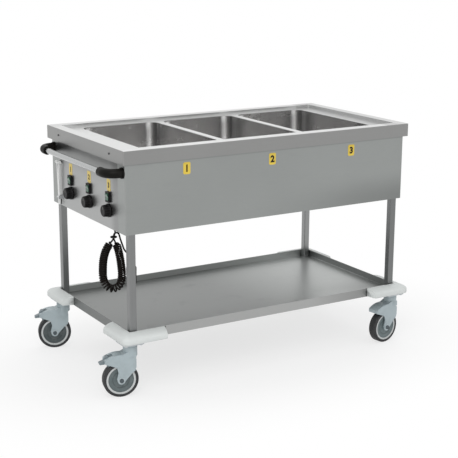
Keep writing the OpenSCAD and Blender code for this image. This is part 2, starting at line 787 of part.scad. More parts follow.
// Moulded grip over the bar of the drain lever
module lever_grip() color("#202020") in_place()
    translate([-body_hx - lever_out, lever_y, lever_pivot_h]) difference() {
        translate([0, 0, lever_l]) rotate([90, 0, 0]) cylinder(r = grip_r, h = grip_l, center = true);
        lever_rods();
    }

// Two ears on the panel with the lever's pin
module lever_bracket() color("#202020") in_place() translate([-body_hx, lever_y, lever_pivot_h]) {
    for (s = [-1, 1]) translate([0, s * (ear_y + ear_t / 2), 0]) {
        translate([-lever_out, 0, 0]) rotate([90, 0, 0]) cylinder(r = ear_r, h = ear_t, center = true);
        translate([-lever_out, -ear_t / 2, -ear_r]) cube([lever_out, ear_t, 2 * ear_r]);
    }
    translate([-lever_out, 0, 0]) rotate([90, 0, 0]) cylinder(r = lever_pin_r, h = 2 * ear_y, center = true);
}

// Gland nut and strain relief under the floor of the body
module cable_gland() color("#202020") in_place() translate([gland_x, gland_y, pan_z]) {
    cylinder(r = gland_neck_r, h = sheet);
    translate([0, 0, -gland_nut_h]) cylinder(r = gland_nut_r, h = gland_nut_h, $fn = 6);
    translate([0, 0, -gland_nut_h - relief_l]) cylinder(r1 = relief_tip_r, r2 = relief_top_r, h = relief_l);
}

// Pan head screws on the left skirt
module skirt_screws() color("dimgray") in_place() for (s = [-1, 1])
    translate([-top_l / 2, s * screw_y, screw_h]) rotate([0, -90, 0]) difference() {
        cylinder(r = screw_r, h = screw_t);
        translate([-screw_r, -screw_slot / 2, screw_t / 2]) cube([2 * screw_r, screw_slot, screw_t]);
    }

// Caster plates under the tray's corners, with bosses, kingpins and four bolt heads each
module caster_plates() color("silver") in_place() for (sx = [-1, 1], sy = [-1, 1])
    translate([sx * caster_x, sy * caster_y, 0]) {
        translate([0, 0, caster_plate_z])
            round_plate(caster_plate_w, caster_plate_w, caster_plate_t, plate_corner_r);
        translate([0, 0, head_h + swivel_gap])
            cylinder(r = kingpin_boss_r, h = caster_plate_z - head_h - swivel_gap);
        translate([0, 0, kingpin_end_z]) cylinder(r = kingpin_r, h = caster_plate_z - kingpin_end_z);
        for (bx = [-1, 1], by = [-1, 1])
            translate([bx * bolt_place, by * bolt_place, caster_plate_z - bolt_t])
                cylinder(r = bolt_r, h = bolt_t, $fn = 6);
    }

// Place of one caster, turned about its kingpin
module at_caster(sx, sy, turn) in_place()
    translate([sx * caster_x, sy * caster_y, 0]) rotate([0, 0, turn]) children();

// Side outline of a fork: round hood, shoulder under the head, cheek and the round end at the axle
module fork_side() {
    intersection() {
        translate([-hood_u, hood_z]) circle(hood_r);
        polygon([[hood_nose, hood_z + hood_r], [-hood_tail_u, hood_z + hood_r],
            for (p = hood_under) [-hood_tail_u + p[0], hood_tail_z + p[1]],
            for (p = cheek_edge) [-trail + p[0], wheel_r + p[1]]]);
    }
    polygon([shoulder_foot, [shoulder_top_u, shoulder_z], [hood_nose - shoulder_r, shoulder_z],
        [hood_nose - shoulder_r, shoulder_foot[1] - shoulder_r]]);
    translate([0, shoulder_foot[1] - shoulder_r])
        square([hood_nose, shoulder_z - shoulder_foot[1]]);
    translate([hood_nose - shoulder_r, shoulder_z - shoulder_r]) circle(shoulder_r);
    translate([-trail, wheel_r]) circle(fork_end_r);
}

// Hooded fork with its swivel head and axle; a braked fork has a pocket and pin for the pedal
module fork(braked) color("lightgray") {
    difference() {
        union() {
            rotate([90, 0, 0]) linear_extrude(fork_w, center = true) fork_side();
            translate([0, 0, head_base_z]) cylinder(r = head_r, h = head_h - head_base_z);
        }
        translate([-trail, 0, wheel_r]) rotate([90, 0, 0])
            cylinder(r = wheel_clear_r, h = fork_slot_w, center = true);
        translate([0, 0, kingpin_end_z - free_gap])
            cylinder(r = kingpin_r + running_gap, h = head_h - kingpin_end_z + free_gap + cut);
        translate([0, 0, head_h - head_ring_h - head_groove]) difference() {
            cylinder(r = head_r + cut, h = head_groove);
            translate([0, 0, -cut]) cylinder(r = head_r - head_groove, h = head_groove + 2 * cut);
        }
        if (braked) translate([-hood_tail_u - cut, -brake_w / 2 - free_gap, wheel_r])
            cube([hood_tail_u + cut - brake_pocket_u, brake_w + 2 * free_gap, hood_r]);
    }
    translate([-trail, 0, wheel_r]) rotate([90, 0, 0]) {
        cylinder(r = axle_r, h = fork_w, center = true);
        for (s = [-1, 1]) translate([0, 0, s * (fork_w + washer_t) / 2]) {
            cylinder(r = washer_r, h = washer_t, center = true);
            translate([0, 0, s * (washer_t + nut_t) / 2]) cylinder(r = nut_r, h = nut_t, center = true, $fn = 6);
        }
    }
    if (braked) translate([-brake_u, 0, brake_z]) rotate([90, 0, 0])
        cylinder(r = brake_pin_r, h = brake_w + 2 * free_gap, center = true);
}
module fork_front_left() at_caster(-1, -1, turn_front_left) fork(true);
module fork_front_right() at_caster(1, -1, turn_front_right) fork(false);
module fork_back_left() at_caster(-1, 1, turn_back_left) fork(true);
module fork_back_right() at_caster(1, 1, turn_back_right) fork(false);

// Wheel centre: boss, web, ridge and rim
module wheel_centre() color("slategray") translate([-trail, 0, wheel_r]) rotate([90, 0, 0])
    rotate_extrude() difference() {
        union() {
            translate([axle_r + running_gap, -boss_hl]) square([boss_r - axle_r - running_gap, 2 * boss_hl]);
            translate([axle_r + running_gap, -web_ht]) square([centre_r - axle_r - running_gap, 2 * web_ht]);
            translate([ridge_r, -web_ht - ridge_h]) square([ridge_w, 2 * (web_ht + ridge_h)]);
            translate([centre_r - rim_ring_w, -rim_ht]) square([rim_ring_w, 2 * rim_ht]);
        }
    }
module wheel_front_left() at_caster(-1, -1, turn_front_left) wheel_centre();
module wheel_front_right() at_caster(1, -1, turn_front_right) wheel_centre();
module wheel_back_left() at_caster(-1, 1, turn_back_left) wheel_centre();
module wheel_back_right() at_caster(1, 1, turn_back_right) wheel_centre();

// Tyre with a rounded tread
module tyre() color("#303030") translate([-trail, 0, wheel_r]) rotate([90, 0, 0])
    rotate_extrude() {
        translate([centre_r, -tyre_w / 2]) square([wheel_r - tyre_crown - centre_r, tyre_w]);
        translate([centre_r, -tyre_w / 2 + tyre_crown]) square([wheel_r - centre_r, tyre_w - 2 * tyre_crown]);
        for (s = [-1, 1]) translate([wheel_r - tyre_crown, s * (tyre_w / 2 - tyre_crown)]) circle(tyre_crown);
    }
module tyre_front_left() at_caster(-1, -1, turn_front_left) tyre();
module tyre_front_right() at_caster(1, -1, turn_front_right) tyre();
module tyre_back_left() at_caster(-1, 1, turn_back_left) tyre();
module tyre_back_right() at_caster(1, 1, turn_back_right) tyre();

// Brake pedal: tongue to tread on, release pad and shoe round one hub
module brake_pedal() color("#404040") translate([-brake_u, 0, brake_z]) rotate([90, 0, 0]) difference() {
    union() {
        cylinder(r = brake_hub_r, h = brake_w, center = true);
        linear_extrude(brake_w, center = true)
            polygon([[0, brake_hub_r], brake_bend[0], [brake_u - brake_tip_u, brake_tip_z - brake_z + brake_tip_r],
                [brake_u - brake_tip_u, brake_tip_z - brake_z - brake_tip_r], brake_bend[1], [0, -brake_hub_r]]);
        translate([brake_u - brake_tip_u, brake_tip_z - brake_z, 0])
            cylinder(r = brake_tip_r, h = brake_w, center = true);
        linear_extrude(brake_w, center = true) polygon(brake_pad);
        linear_extrude(brake_w, center = true) polygon(brake_shoe);
    }
    cylinder(r = brake_pin_r + running_gap, h = brake_w + 2 * cut, center = true);
}
module brake_front_left() at_caster(-1, -1, turn_front_left) brake_pedal();
module brake_back_left() at_caster(-1, 1, turn_back_left) brake_pedal();

// Smooth curve through a list of points, at place t from 0 to the last index
function clamp(x, low, high) = min(max(x, low), high);
function unit(a) = a / norm(a);
function path_at(p, t) = let (
    n = len(p) - 1, i = clamp(floor(t), 0, n - 1), f = t - i,
    b = p[i], c = p[i + 1], a = i > 0 ? p[i - 1] : 2 * b - c, d = i < n - 1 ? p[i + 2] : 2 * c - b)
    b + f * ((c - a) / 2 + f * ((2 * a - 5 * b + 4 * c - d) / 2 + f * (3 * b - a - 3 * c + d) / 2));
function slope_at(p, t) = unit(path_at(p, t + 0.02) - path_at(p, t - 0.02));

// Frames carried along a wire without twist, and the tube's rings
function ahead(w, i) = let (n = len(w) - 1)
    unit(i == 0 ? w[1] - w[0] : i == n ? w[n] - w[n - 1] : unit(w[i + 1] - w[i]) + unit(w[i] - w[i - 1]));
function across(e, t) = unit(e - (e * t) * t);
function sides_of(w, start) = [for (i = 0, e = across(start, ahead(w, 0)); i < len(w);
    i = i + 1, e = i < len(w) ? across(e, ahead(w, i)) : e) e];
module swept_tube(w, r, sides, start) {
    normals = sides_of(w, start);
    points = [for (i = [0:len(w) - 1]) let (e = normals[i], g = cross(ahead(w, i), e))
        for (k = [0:sides - 1]) w[i] + r * (cos(360 * k / sides) * e + sin(360 * k / sides) * g)];
    last = (len(w) - 1) * sides;
    polyhedron(points, [
        [for (k = [0:sides - 1]) k],
        for (i = [0:len(w) - 2], k = [0:sides - 1]) let (a = i * sides + k, b = i * sides + (k + 1) % sides)
            each [[a, a + sides, b], [b, a + sides, b + sides]],
        [for (k = [sides - 1:-1:0]) last + k]
    ], convexity = 10);
}

// Middle line of the coil in fine steps, with the length and the number of curls up to each
fine = 24;
coil_steps = (len(coil_path) - 1) * fine;
middle = [for (i = [0:coil_steps]) path_at(coil_path, i / fine)];
function bend_of(i) = let (j = clamp(i, 3, coil_steps - 3))
    norm(unit(middle[j + 3] - middle[j]) - unit(middle[j] - middle[j - 3])) / norm(middle[j + 3] - middle[j]);
step_l = [for (i = [0:coil_steps - 1]) norm(middle[i + 1] - middle[i])];
length_to = [for (i = 0, l = 0; i <= coil_steps; l = l + (i < coil_steps ? step_l[i] : 0), i = i + 1) l];
coil_l = length_to[coil_steps];
function ease(x) = let (c = clamp(x, 0, 1)) c * c * (3 - 2 * c);
function open_at(l) = ease((min(l, coil_l - l) - 2 * cord_r) / ramp_l);
function step_at(i) = let (
    l = length_to[i], bent = (2 * cord_r + curl_gap) / (1 - curl_r * bend_of(i)), o = open_at(l))
    o * max(curl_step, bent) + (1 - o) * ramp_step;
curls_to = [for (i = 0, c = 0; i <= coil_steps;
    c = c + (i < coil_steps ? step_l[i] / step_at(i) : 0), i = i + 1) c];
curls = curls_to[coil_steps];

// The curly wire: rings at equal turns about the middle line, drawn in to it at both ends
place_of = [for (i = [0:coil_steps]) [curls_to[i], i / fine]];
length_of_place = [for (i = [0:coil_steps]) [i, length_to[i]]];
ring_n = round(curls * curl_rings);
function wire_at(k) = let (
    turn = k / ring_n * curls, t = lookup(turn, place_of), l = lookup(t * fine, length_of_place),
    s = slope_at(coil_path, t), n = across([0, 1, 0], s), m = cross(s, n), r = curl_r * open_at(l))
    path_at(coil_path, t) + r * (cos(360 * turn) * n + sin(360 * turn) * m);
wire = [for (k = [0:ring_n]) wire_at(k)];
near = ceil(curl_rings * 0.7);
least = min([for (i = [0:ring_n - near]) min([for (j = [i + near:ring_n]) norm(wire[i] - wire[j])])]);

// Places and turns something drawn in the cord's own frame
module at_cord() in_place() translate([gland_x, gland_y, lead_top_z]) rotate([0, 0, cord_turn]) children();
function seam_at(a, b) = cord_seam / norm(b - a);
function run_of(p, n, from, to) = [for (i = [0:n]) path_at(p, from + i * (to - from) / n)];
lead_last = len(lead_path) - 1;
tail_last = len(tail_path) - 1;
module cord_lead() color("#202020") at_cord()
    swept_tube(run_of(lead_path, lead_rings, 0, lead_last - seam_at(lead_path[lead_last - 1], lead_end)),
        cord_r, lead_sides, [1, 0, 0]);
module cord_coil() color("#202020") at_cord() {
    swept_tube(wire, cord_r, cord_sides, [0, 1, 0]);
    echo(str("Curls ", round(curls), ", wire ", round(length_of(wire)), " mm, least gap ",
        least - 2 * cord_r, " mm"));
}
module cord_tail() color("#202020") at_cord()
    swept_tube(run_of(tail_path, tail_rings, seam_at(tail_start, tail_path[1]),
        tail_last - seam_at(tail_path[tail_last - 1], tail_path[tail_last])), cord_r, lead_sides, [0, 1, 0]);
function length_of(w) = [for (i = 0, l = 0; i < len(w); l = l + (i < len(w) - 1 ? norm(w[i + 1] - w[i]) : 0),
    i = i + 1) l][len(w) - 1];

// Moulded plug with two round pins and grip ribs
module plug() color("#202020") at_cord() translate(tail_path[len(tail_path) - 1]) {
    translate([0, 0, -plug_neck_l]) cylinder(r = plug_neck_r, h = plug_neck_l);
    translate([0, 0, -plug_neck_l - plug_l]) rotate_extrude() {
        square([plug_r - plug_edge_r, plug_l]);
        square([plug_r, plug_l - plug_edge_r]);
        translate([plug_r - plug_edge_r, plug_l - plug_edge_r]) circle(plug_edge_r);
    }
    for (s = [-1, 1]) translate([s * pin_y, 0, -plug_neck_l - plug_l - pin_l]) cylinder(r = pin_r, h = pin_l);
}

// Ring between the lead and the tail
module cord_tie() color("#202020") at_cord() translate(ring_place)
    rotate_extrude() translate([ring_r, 0]) circle(ring_rod_r);

worktop();
well_1();
well_2();
well_3();
front_panel();
back_panel();
control_panel();
end_panel();
bottom_pan();
leg_front_left();
leg_front_right();
leg_back_left();
leg_back_right();
shelf();
bumper_front_left();
bumper_front_right();
bumper_back_left();
bumper_back_right();
handle_tube();
handle_bracket_front();
handle_bracket_back();
heaters();
thermostats();
terminal_block();
switch_housings();
rocker_1();
rocker_2();
rocker_3();
knob_1();
knob_2();
knob_3();
number_plates();
drain_manifold();
drain_valve();
drain_lever();
lever_grip();
lever_bracket();
cable_gland();
skirt_screws();
caster_plates();
fork_front_left();
fork_front_right();
fork_back_left();
fork_back_right();
wheel_front_left();
wheel_front_right();
wheel_back_left();
wheel_back_right();
tyre_front_left();
tyre_front_right();
tyre_back_left();
tyre_back_right();
brake_front_left();
brake_back_left();
cord_lead();
cord_coil();
cord_tail();
plug();
cord_tie();
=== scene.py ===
"""Looks of a heated food trolley with three sunken wells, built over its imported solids."""

import json
import logging
import math
from dataclasses import dataclass, field, replace
from enum import Enum
from functools import cache
from typing import Any, Mapping, Sequence

import bpy
import numpy as np
from mathutils import Matrix, Vector


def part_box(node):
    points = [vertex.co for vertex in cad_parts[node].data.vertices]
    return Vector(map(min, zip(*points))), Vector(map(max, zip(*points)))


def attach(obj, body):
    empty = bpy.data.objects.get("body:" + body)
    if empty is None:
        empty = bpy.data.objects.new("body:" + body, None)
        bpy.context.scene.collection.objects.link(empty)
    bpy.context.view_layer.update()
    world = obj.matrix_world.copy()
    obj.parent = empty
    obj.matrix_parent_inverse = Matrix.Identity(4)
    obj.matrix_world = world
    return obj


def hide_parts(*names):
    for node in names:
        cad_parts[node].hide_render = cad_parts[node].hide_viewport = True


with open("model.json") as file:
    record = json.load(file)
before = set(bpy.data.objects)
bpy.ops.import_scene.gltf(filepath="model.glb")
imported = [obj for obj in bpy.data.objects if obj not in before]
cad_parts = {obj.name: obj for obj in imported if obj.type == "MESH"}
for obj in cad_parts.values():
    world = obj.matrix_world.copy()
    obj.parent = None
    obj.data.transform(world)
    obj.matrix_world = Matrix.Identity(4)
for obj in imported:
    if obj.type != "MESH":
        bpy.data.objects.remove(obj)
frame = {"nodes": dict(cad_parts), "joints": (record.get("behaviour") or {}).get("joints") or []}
log = logging.getLogger("trolley")

Array = np.ndarray
Triple = tuple[float, float, float]
Colour = Triple
Span = tuple[float, float]

MM = 0.001
WHITE = (1.0, 1.0, 1.0)
UP = (0.0, 0.0, 1.0)
HULL = "trolley"  # the CAD body that every fixed piece rides on
SHIFT_X = sum(corner[0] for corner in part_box("worktop")) / 2  # the worktop's own middle, seen from the origin


def at(x: float, y: float, z: float) -> Array:
    """A point given in millimetres about the worktop's middle, in metres in the shared frame."""
    return np.array([x * MM + SHIFT_X, y * MM, z * MM])


def shaded(colour: Colour, factor: float) -> Colour:
    """A colour times a factor, no brighter than white."""
    return tuple(min(1.0, part * factor) for part in colour)


class Grain(Enum):
    """Direction along which steel is brushed, as factors on the coordinates of its scratches."""

    ALONG = (0.35, 14.0, 14.0)
    ACROSS = (14.0, 0.35, 14.0)
    UPRIGHT = (14.0, 14.0, 0.35)


class Corner(Enum):
    """Corners of the trolley, as their signs along X and Y."""

    FRONT_LEFT = (-1, -1)
    FRONT_RIGHT = (1, -1)
    BACK_LEFT = (-1, 1)
    BACK_RIGHT = (1, 1)


# Shader maths


@dataclass(frozen=True, eq=False)
class Signal:
    """A socket that carries numbers or colours over a surface; operators add Math nodes."""

    tree: "NodeTree"
    socket: bpy.types.NodeSocket

    def maths(self, operation: str, *others: Any, flip: bool = False) -> "Signal":
        """Adds one Math node.

        Args:
            operation: the node's operation.
            others: the further inputs, numbers or signals.
            flip: puts this signal second, for reflected operators.

        Returns:
            The node's result.
        """
        terms = (*others, self) if flip else (self, *others)
        return self.tree.signal("Math", {"operation": operation}, dict(enumerate(terms)))

    def __add__(self, other: Any) -> "Signal":
        """Sum."""
        return self.maths("ADD", other)

    __radd__ = __add__

    def __sub__(self, other: Any) -> "Signal":
        """Difference."""
        return self.maths("SUBTRACT", other)

    def __rsub__(self, other: Any) -> "Signal":
        """Reflected difference."""
        return self.maths("SUBTRACT", other, flip=True)

    def __mul__(self, other: Any) -> "Signal":
        """Product."""
        return self.maths("MULTIPLY", other)

    __rmul__ = __mul__

    def __truediv__(self, other: Any) -> "Signal":
        """Quotient."""
        return self.maths("DIVIDE", other)

    def __rtruediv__(self, other: Any) -> "Signal":
        """Reflected quotient."""
        return self.maths("DIVIDE", other, flip=True)

    def __abs__(self) -> "Signal":
        """Size without sign."""
        return self.maths("ABSOLUTE")

    def fract(self) -> "Signal":
        """Part after the decimal point."""
        return self.maths("FRACT")

    def sine(self) -> "Signal":
        """Sine of the angle in radians."""
        return self.maths("SINE")

    def between(self, low: float, high: float) -> "Signal":
        """Soft step: 0 at low, 1 at high, smooth in between.

        Args:
            low: where the step starts.
            high: where it ends, which may lie under low.

        Returns:
            The step.
        """
        return self.tree.signal(
            "MapRange",
            {"interpolation_type": "SMOOTHSTEP", "clamp": True},
            {"Value": self, "From Min": low, "From Max": high, "To Min": 0.0, "To Max": 1.0},
            "Result",
        )

    def tint(self, low: Any, high: Any) -> "Signal":
        """Mixes two colours by this signal.

        Args:
            low: colour where the signal is 0.
            high: colour where it is 1.

        Returns:
            The colour.
        """
        settings = {"data_type": "RGBA", "blend_type": "MIX"}
        return self.tree.signal("Mix", settings, {"Factor": self, 6: low, 7: high}, 2)


class NodeTree:
    """A tree of shader nodes, empty at first."""

    def __init__(self, graph: bpy.types.NodeTree) -> None:
        """Clears the nodes that Blender puts there."""
        self.graph = graph
        graph.nodes.clear()

    def node(self, kind: str, settings: Mapping[str, Any], values: Mapping[Any, Any]) -> bpy.types.Node:
        """Adds a node of any type.

        Args:
            kind: the type's name without its ShaderNode prefix.
            settings: properties, set first.
            values: numbers, colours, vectors or signals for its inputs, by name or number.

        Returns:
            The node.
        """
        made = self.graph.nodes.new("ShaderNode" + kind)
        for key, value in settings.items():
            setattr(made, key, value)
        for key, value in values.items():
            self.feed(made.inputs[key], value)
        return made

    def signal(
        self, kind: str, settings: Mapping[str, Any], values: Mapping[Any, Any], output: int | str = 0
    ) -> Signal:
        """Adds a node and takes one of its outputs, by name or number; the rest is as for node."""
        return Signal(self, self.node(kind, settings, values).outputs[output])

    def feed(self, socket: bpy.types.NodeSocket, value: Any) -> None:
        """Links a signal to a socket, or sets the socket's own value.

        Args:
            socket: the input.
            value: a signal, a number, a colour or a vector.
        """
        if isinstance(value, Signal):
            self.graph.links.new(value.socket, socket)
        elif isinstance(value, (int, float)):
            socket.default_value = value
        else:
            have = len(socket.default_value)
            socket.default_value = (*value, 1.0) if len(value) < have else tuple(value)

    def eye_rays(self) -> Signal:
        """One for rays that show the surroundings: the camera's, and those off gloss and through glass.

        Returns:
            The mask.
        """
        rays = self.node("LightPath", {}, {}).outputs
        kinds = ("Camera", "Glossy", "Transmission")
        camera, gloss, glass = (Signal(self, rays[f"Is {kind} Ray"]) for kind in kinds)
        return (camera + gloss + glass).maths("MINIMUM", 1.0)


class ShaderTree(NodeTree):
    """The nodes of one new material, with a Principled shader.

    Its places are the Object coordinates, and x, y and z are the distances along each axis from the floor
    under the worktop's middle, all in metres.
    """

    def __init__(self, name: str) -> None:
        """Makes the material, with nothing on it but its shader.

        Args:
            name: the material's name.
        """
        self.material = bpy.data.materials.new(name)
        self.material.use_nodes = True
        super().__init__(self.material.node_tree)
        self.shader = self.node("BsdfPrincipled", {}, {})
        self.output = self.node("OutputMaterial", {}, {"Surface": Signal(self, self.shader.outputs[0])})
        self.places = self.signal("TexCoord", {}, {}, "Object")
        parts = self.node("SeparateXYZ", {}, {0: self.places}).outputs
        x, self.y, self.z = (Signal(self, part) for part in parts)
        self.x = x - SHIFT_X

    def vector(self, operation: str, *terms: Any, output: int | str = 0) -> Signal:
        """Adds a Vector Math node on vectors or signals, and takes one of its outputs."""
        return self.signal("VectorMath", {"operation": operation}, dict(enumerate(terms)), output)

    def noise(
        self, scale: float, detail: float = 2.0, rough: float = 0.5, stretch: Triple | None = None
    ) -> Signal:
        """Cloudy noise from 0 to 1.

        Args:
            scale: its fineness.
            detail: octaves.
            rough: how strong the finer octaves are.
            stretch: factors on the coordinates, for noise that is drawn out along an axis.

        Returns:
            The noise.
        """
        places = self.vector("MULTIPLY", self.places, stretch) if stretch else self.places
        values = {"Vector": places, "Scale": scale, "Detail": detail, "Roughness": rough}
        return self.signal("TexNoise", {}, values)

    def cells(self, scale: float) -> Signal:
        """Distance to the nearest of many scattered points."""
        return self.signal("TexVoronoi", {}, {"Vector": self.places, "Scale": scale}, "Distance")

    def from_line(self, point: Triple, direction: Triple) -> Signal:
        """Distance of the surface from a straight line: the length of a cross product.

        Args:
            point: a point on the line, in metres.
            direction: the line's unit direction.

        Returns:
            The distance in metres.
        """
        apart = self.vector("SUBTRACT", self.places, point)
        return self.vector("LENGTH", self.vector("CROSS_PRODUCT", apart, direction), output="Value")

    def fit(self, **values: Any) -> None:
        """Sets or links the Principled shader's sockets; underscores stand for spaces."""
        for key, value in values.items():
            self.feed(self.shader.inputs[key.replace("_", " ")], value)

    def bump(self, height: Signal, strength: float, depth: float) -> None:
        """Feeds a Bump node to the shader's Normal.

        Args:
            height: the relief, from 0 to 1.
            strength: how much of it shows.
            depth: height of the relief in metres.
        """
        self.fit(Normal=self.signal("Bump", {}, {"Height": height, "Strength": strength, "Distance": depth}))


# Finishes


@dataclass(frozen=True)
class Finish:
    """A named finish; each kind paints a material in its own way."""

    name: str

    def paint(self, tree: ShaderTree) -> None:
        """Feeds the shader of a new material."""
        raise NotImplementedError


@cache
def material_of(finish: Finish) -> bpy.types.Material:
    """Makes a finish's material when it is first asked for, and gives the same one afterwards.

    Args:
        finish: the finish.

    Returns:
        Its material.
    """
    tree = ShaderTree(finish.name)
    finish.paint(tree)
    return tree.material


@dataclass(frozen=True)
class BrushedSteel(Finish):
    """Stainless sheet: fine scratches along one direction, soft clouds and a few smears."""

    colour: Colour
    grain: Grain
    roughness: float = 0.34
    contrast: float = 0.10
    clouding: float = 0.16
    cloud_scale: float = 3.2

    def tones(self, level: Signal, low: float, high: float) -> Signal:
        """The sheet's colour times a factor that goes with the level of scratches, from low to high."""
        return level.tint(shaded(self.colour, low), shaded(self.colour, high))

    def mark(self, tree: ShaderTree, base: Signal, level: Signal) -> Signal:
        """Colour marked over the sheet's plain colour and scratches, where kinds of sheet paint light and
        shade; here it has none.
        """
        return base

    def metallic(self, tree: ShaderTree) -> Any:
        """How metallic the sheet is, the same all over unless a kind of sheet says otherwise."""
        return 1.0

    def paint(self, tree: ShaderTree) -> None:
        """Scratches are noise stretched along the grain, clouds are wide noise, and both set tone and gloss.

        Args:
            tree: the new material.
        """
        scratches = tree.noise(scale=60.0, detail=4.0, rough=0.65, stretch=self.grain.value)
        fine = tree.noise(scale=210.0, detail=2.0, rough=0.6, stretch=self.grain.value)
        clouds = tree.noise(scale=self.cloud_scale, detail=3.0, rough=0.55)
        smears = tree.noise(scale=11.0, detail=4.0, rough=0.6, stretch=(1.0, 1.0, 2.2)).between(0.56, 0.74)
        scratched = (scratches - 0.5) * self.contrast * 1.6 + (fine - 0.5) * self.contrast
        level = (scratched + (clouds - 0.5) * self.clouding + 0.5).between(0.0, 1.0)
        tree.fit(
            Base_Color=self.mark(tree, self.tones(level, 0.80, 1.20), level),
            Metallic=self.metallic(tree),
            Roughness=scratches * 0.12 + smears * 0.06 + clouds * 0.08 + (self.roughness - 0.12),
        )
        tree.bump(scratches * 0.7 + fine * 0.3, strength=0.10, depth=0.0004)


@dataclass(frozen=True)
class PressedTop(BrushedSteel):
    """Sheet of the worktop: upper faces painted paler than the skirts, painted darker reflection at the back
    and the right.
    """

    half: Span = (0.600, 0.320)
    edge: Span = (0.0004, 0.0026)
    mouths: Span = (0.4945, 0.2565)
    deck_x: float = 0.5600
    blend: float = 0.004
    # Colour pairs of painted light: pale for the upper faces, darker reflection behind the back mouths and
    # beside the right one
    pale: tuple[Colour, Colour] = ((0.58, 0.585, 0.58), (0.74, 0.745, 0.74))
    back: tuple[Colour, Colour] = ((0.53, 0.532, 0.53), (0.67, 0.673, 0.67))
    right: tuple[Colour, Colour] = ((0.40, 0.402, 0.40), (0.51, 0.513, 0.51))

    def mark(self, tree: ShaderTree, base: Signal, level: Signal) -> Signal:
        """Painted light inside the outer faces of the skirts, painted darker reflection beyond the mouths at
        the back and on the right.

        Args:
            tree: the new material.
            base: the sheet's plain colour.
            level: its scratches, from dark to pale.

        Returns:
            The colour.
        """
        x, y = tree.x, tree.y
        upper = (self.half[0] - abs(x)).between(*self.edge) * (self.half[1] - abs(y)).between(*self.edge)
        behind = y.between(self.mouths[1], self.mouths[1] + self.blend)
        beside = x.between(self.mouths[0], self.mouths[0] + self.blend)
        rim = x.between(self.deck_x - self.blend / 2, self.deck_x + self.blend / 2)
        # Painted light on the upper faces, painted darker reflection at the back and right, less of it beyond
        # the deck's edge
        top = (behind * 0.85).tint(level.tint(*self.pale), level.tint(*self.back))
        top = (beside * (1.0 - rim * 0.45) * 0.85).tint(top, level.tint(*self.right))
        return upper.tint(base, top)


@dataclass(frozen=True)
class WallPanel(BrushedSteel):
    """Long wall under the worktop: a soft painted shadow under the skirt, and painted shade on the lower right.
    """

    line_z: Span = (0.807, 0.816)
    foot_z: Span = (0.70, 0.585)
    right_x: Span = (-0.15, 0.60)

    def mark(self, tree: ShaderTree, base: Signal, level: Signal) -> Signal:
        """A painted shadow under the skirt; painted shade low down, more so to the right.

        Args:
            tree: the new material.
            base: the sheet's plain colour.
            level: its scratches, from dark to pale.

        Returns:
            The colour.
        """
        # Painted shade low down towards the right, then a painted shadow under the skirt's edge
        low = tree.z.between(*self.foot_z) * tree.x.between(*self.right_x)
        shade_painted = (low * 0.9).tint(base, self.tones(level, 0.55, 0.80))
        return (tree.z.between(*self.line_z) * 0.55).tint(shade_painted, shaded(self.colour, 0.5))


@dataclass(frozen=True)
class ControlWall(BrushedSteel):
    """End wall: painted shade above the handle, painted light lower down round the knobs."""

    dull_z: Span = (0.742, 0.790)
    wiped_z: Span = (0.775, 0.705)
    corner_y: Span = (-0.185, -0.232)

    def mark(self, tree: ShaderTree, base: Signal, level: Signal) -> Signal:
        """Painted light and shade: two soft steps over the height, and painted shade towards the front corner.

        Args:
            tree: the new material.
            base: the sheet's plain colour.
            level: its scratches, from dark to pale.

        Returns:
            The colour.
        """
        # Painted shade high up, painted light lower down, and painted shade towards the front corner
        shade_painted = (tree.z.between(*self.dull_z) * 0.8).tint(base, self.tones(level, 0.55, 0.85))
        lit_painted = (tree.z.between(*self.wiped_z) * 0.8).tint(shade_painted, self.tones(level, 1.15, 1.50))
        return (tree.y.between(*self.corner_y) * 0.30).tint(lit_painted, shaded(self.colour, 0.20))


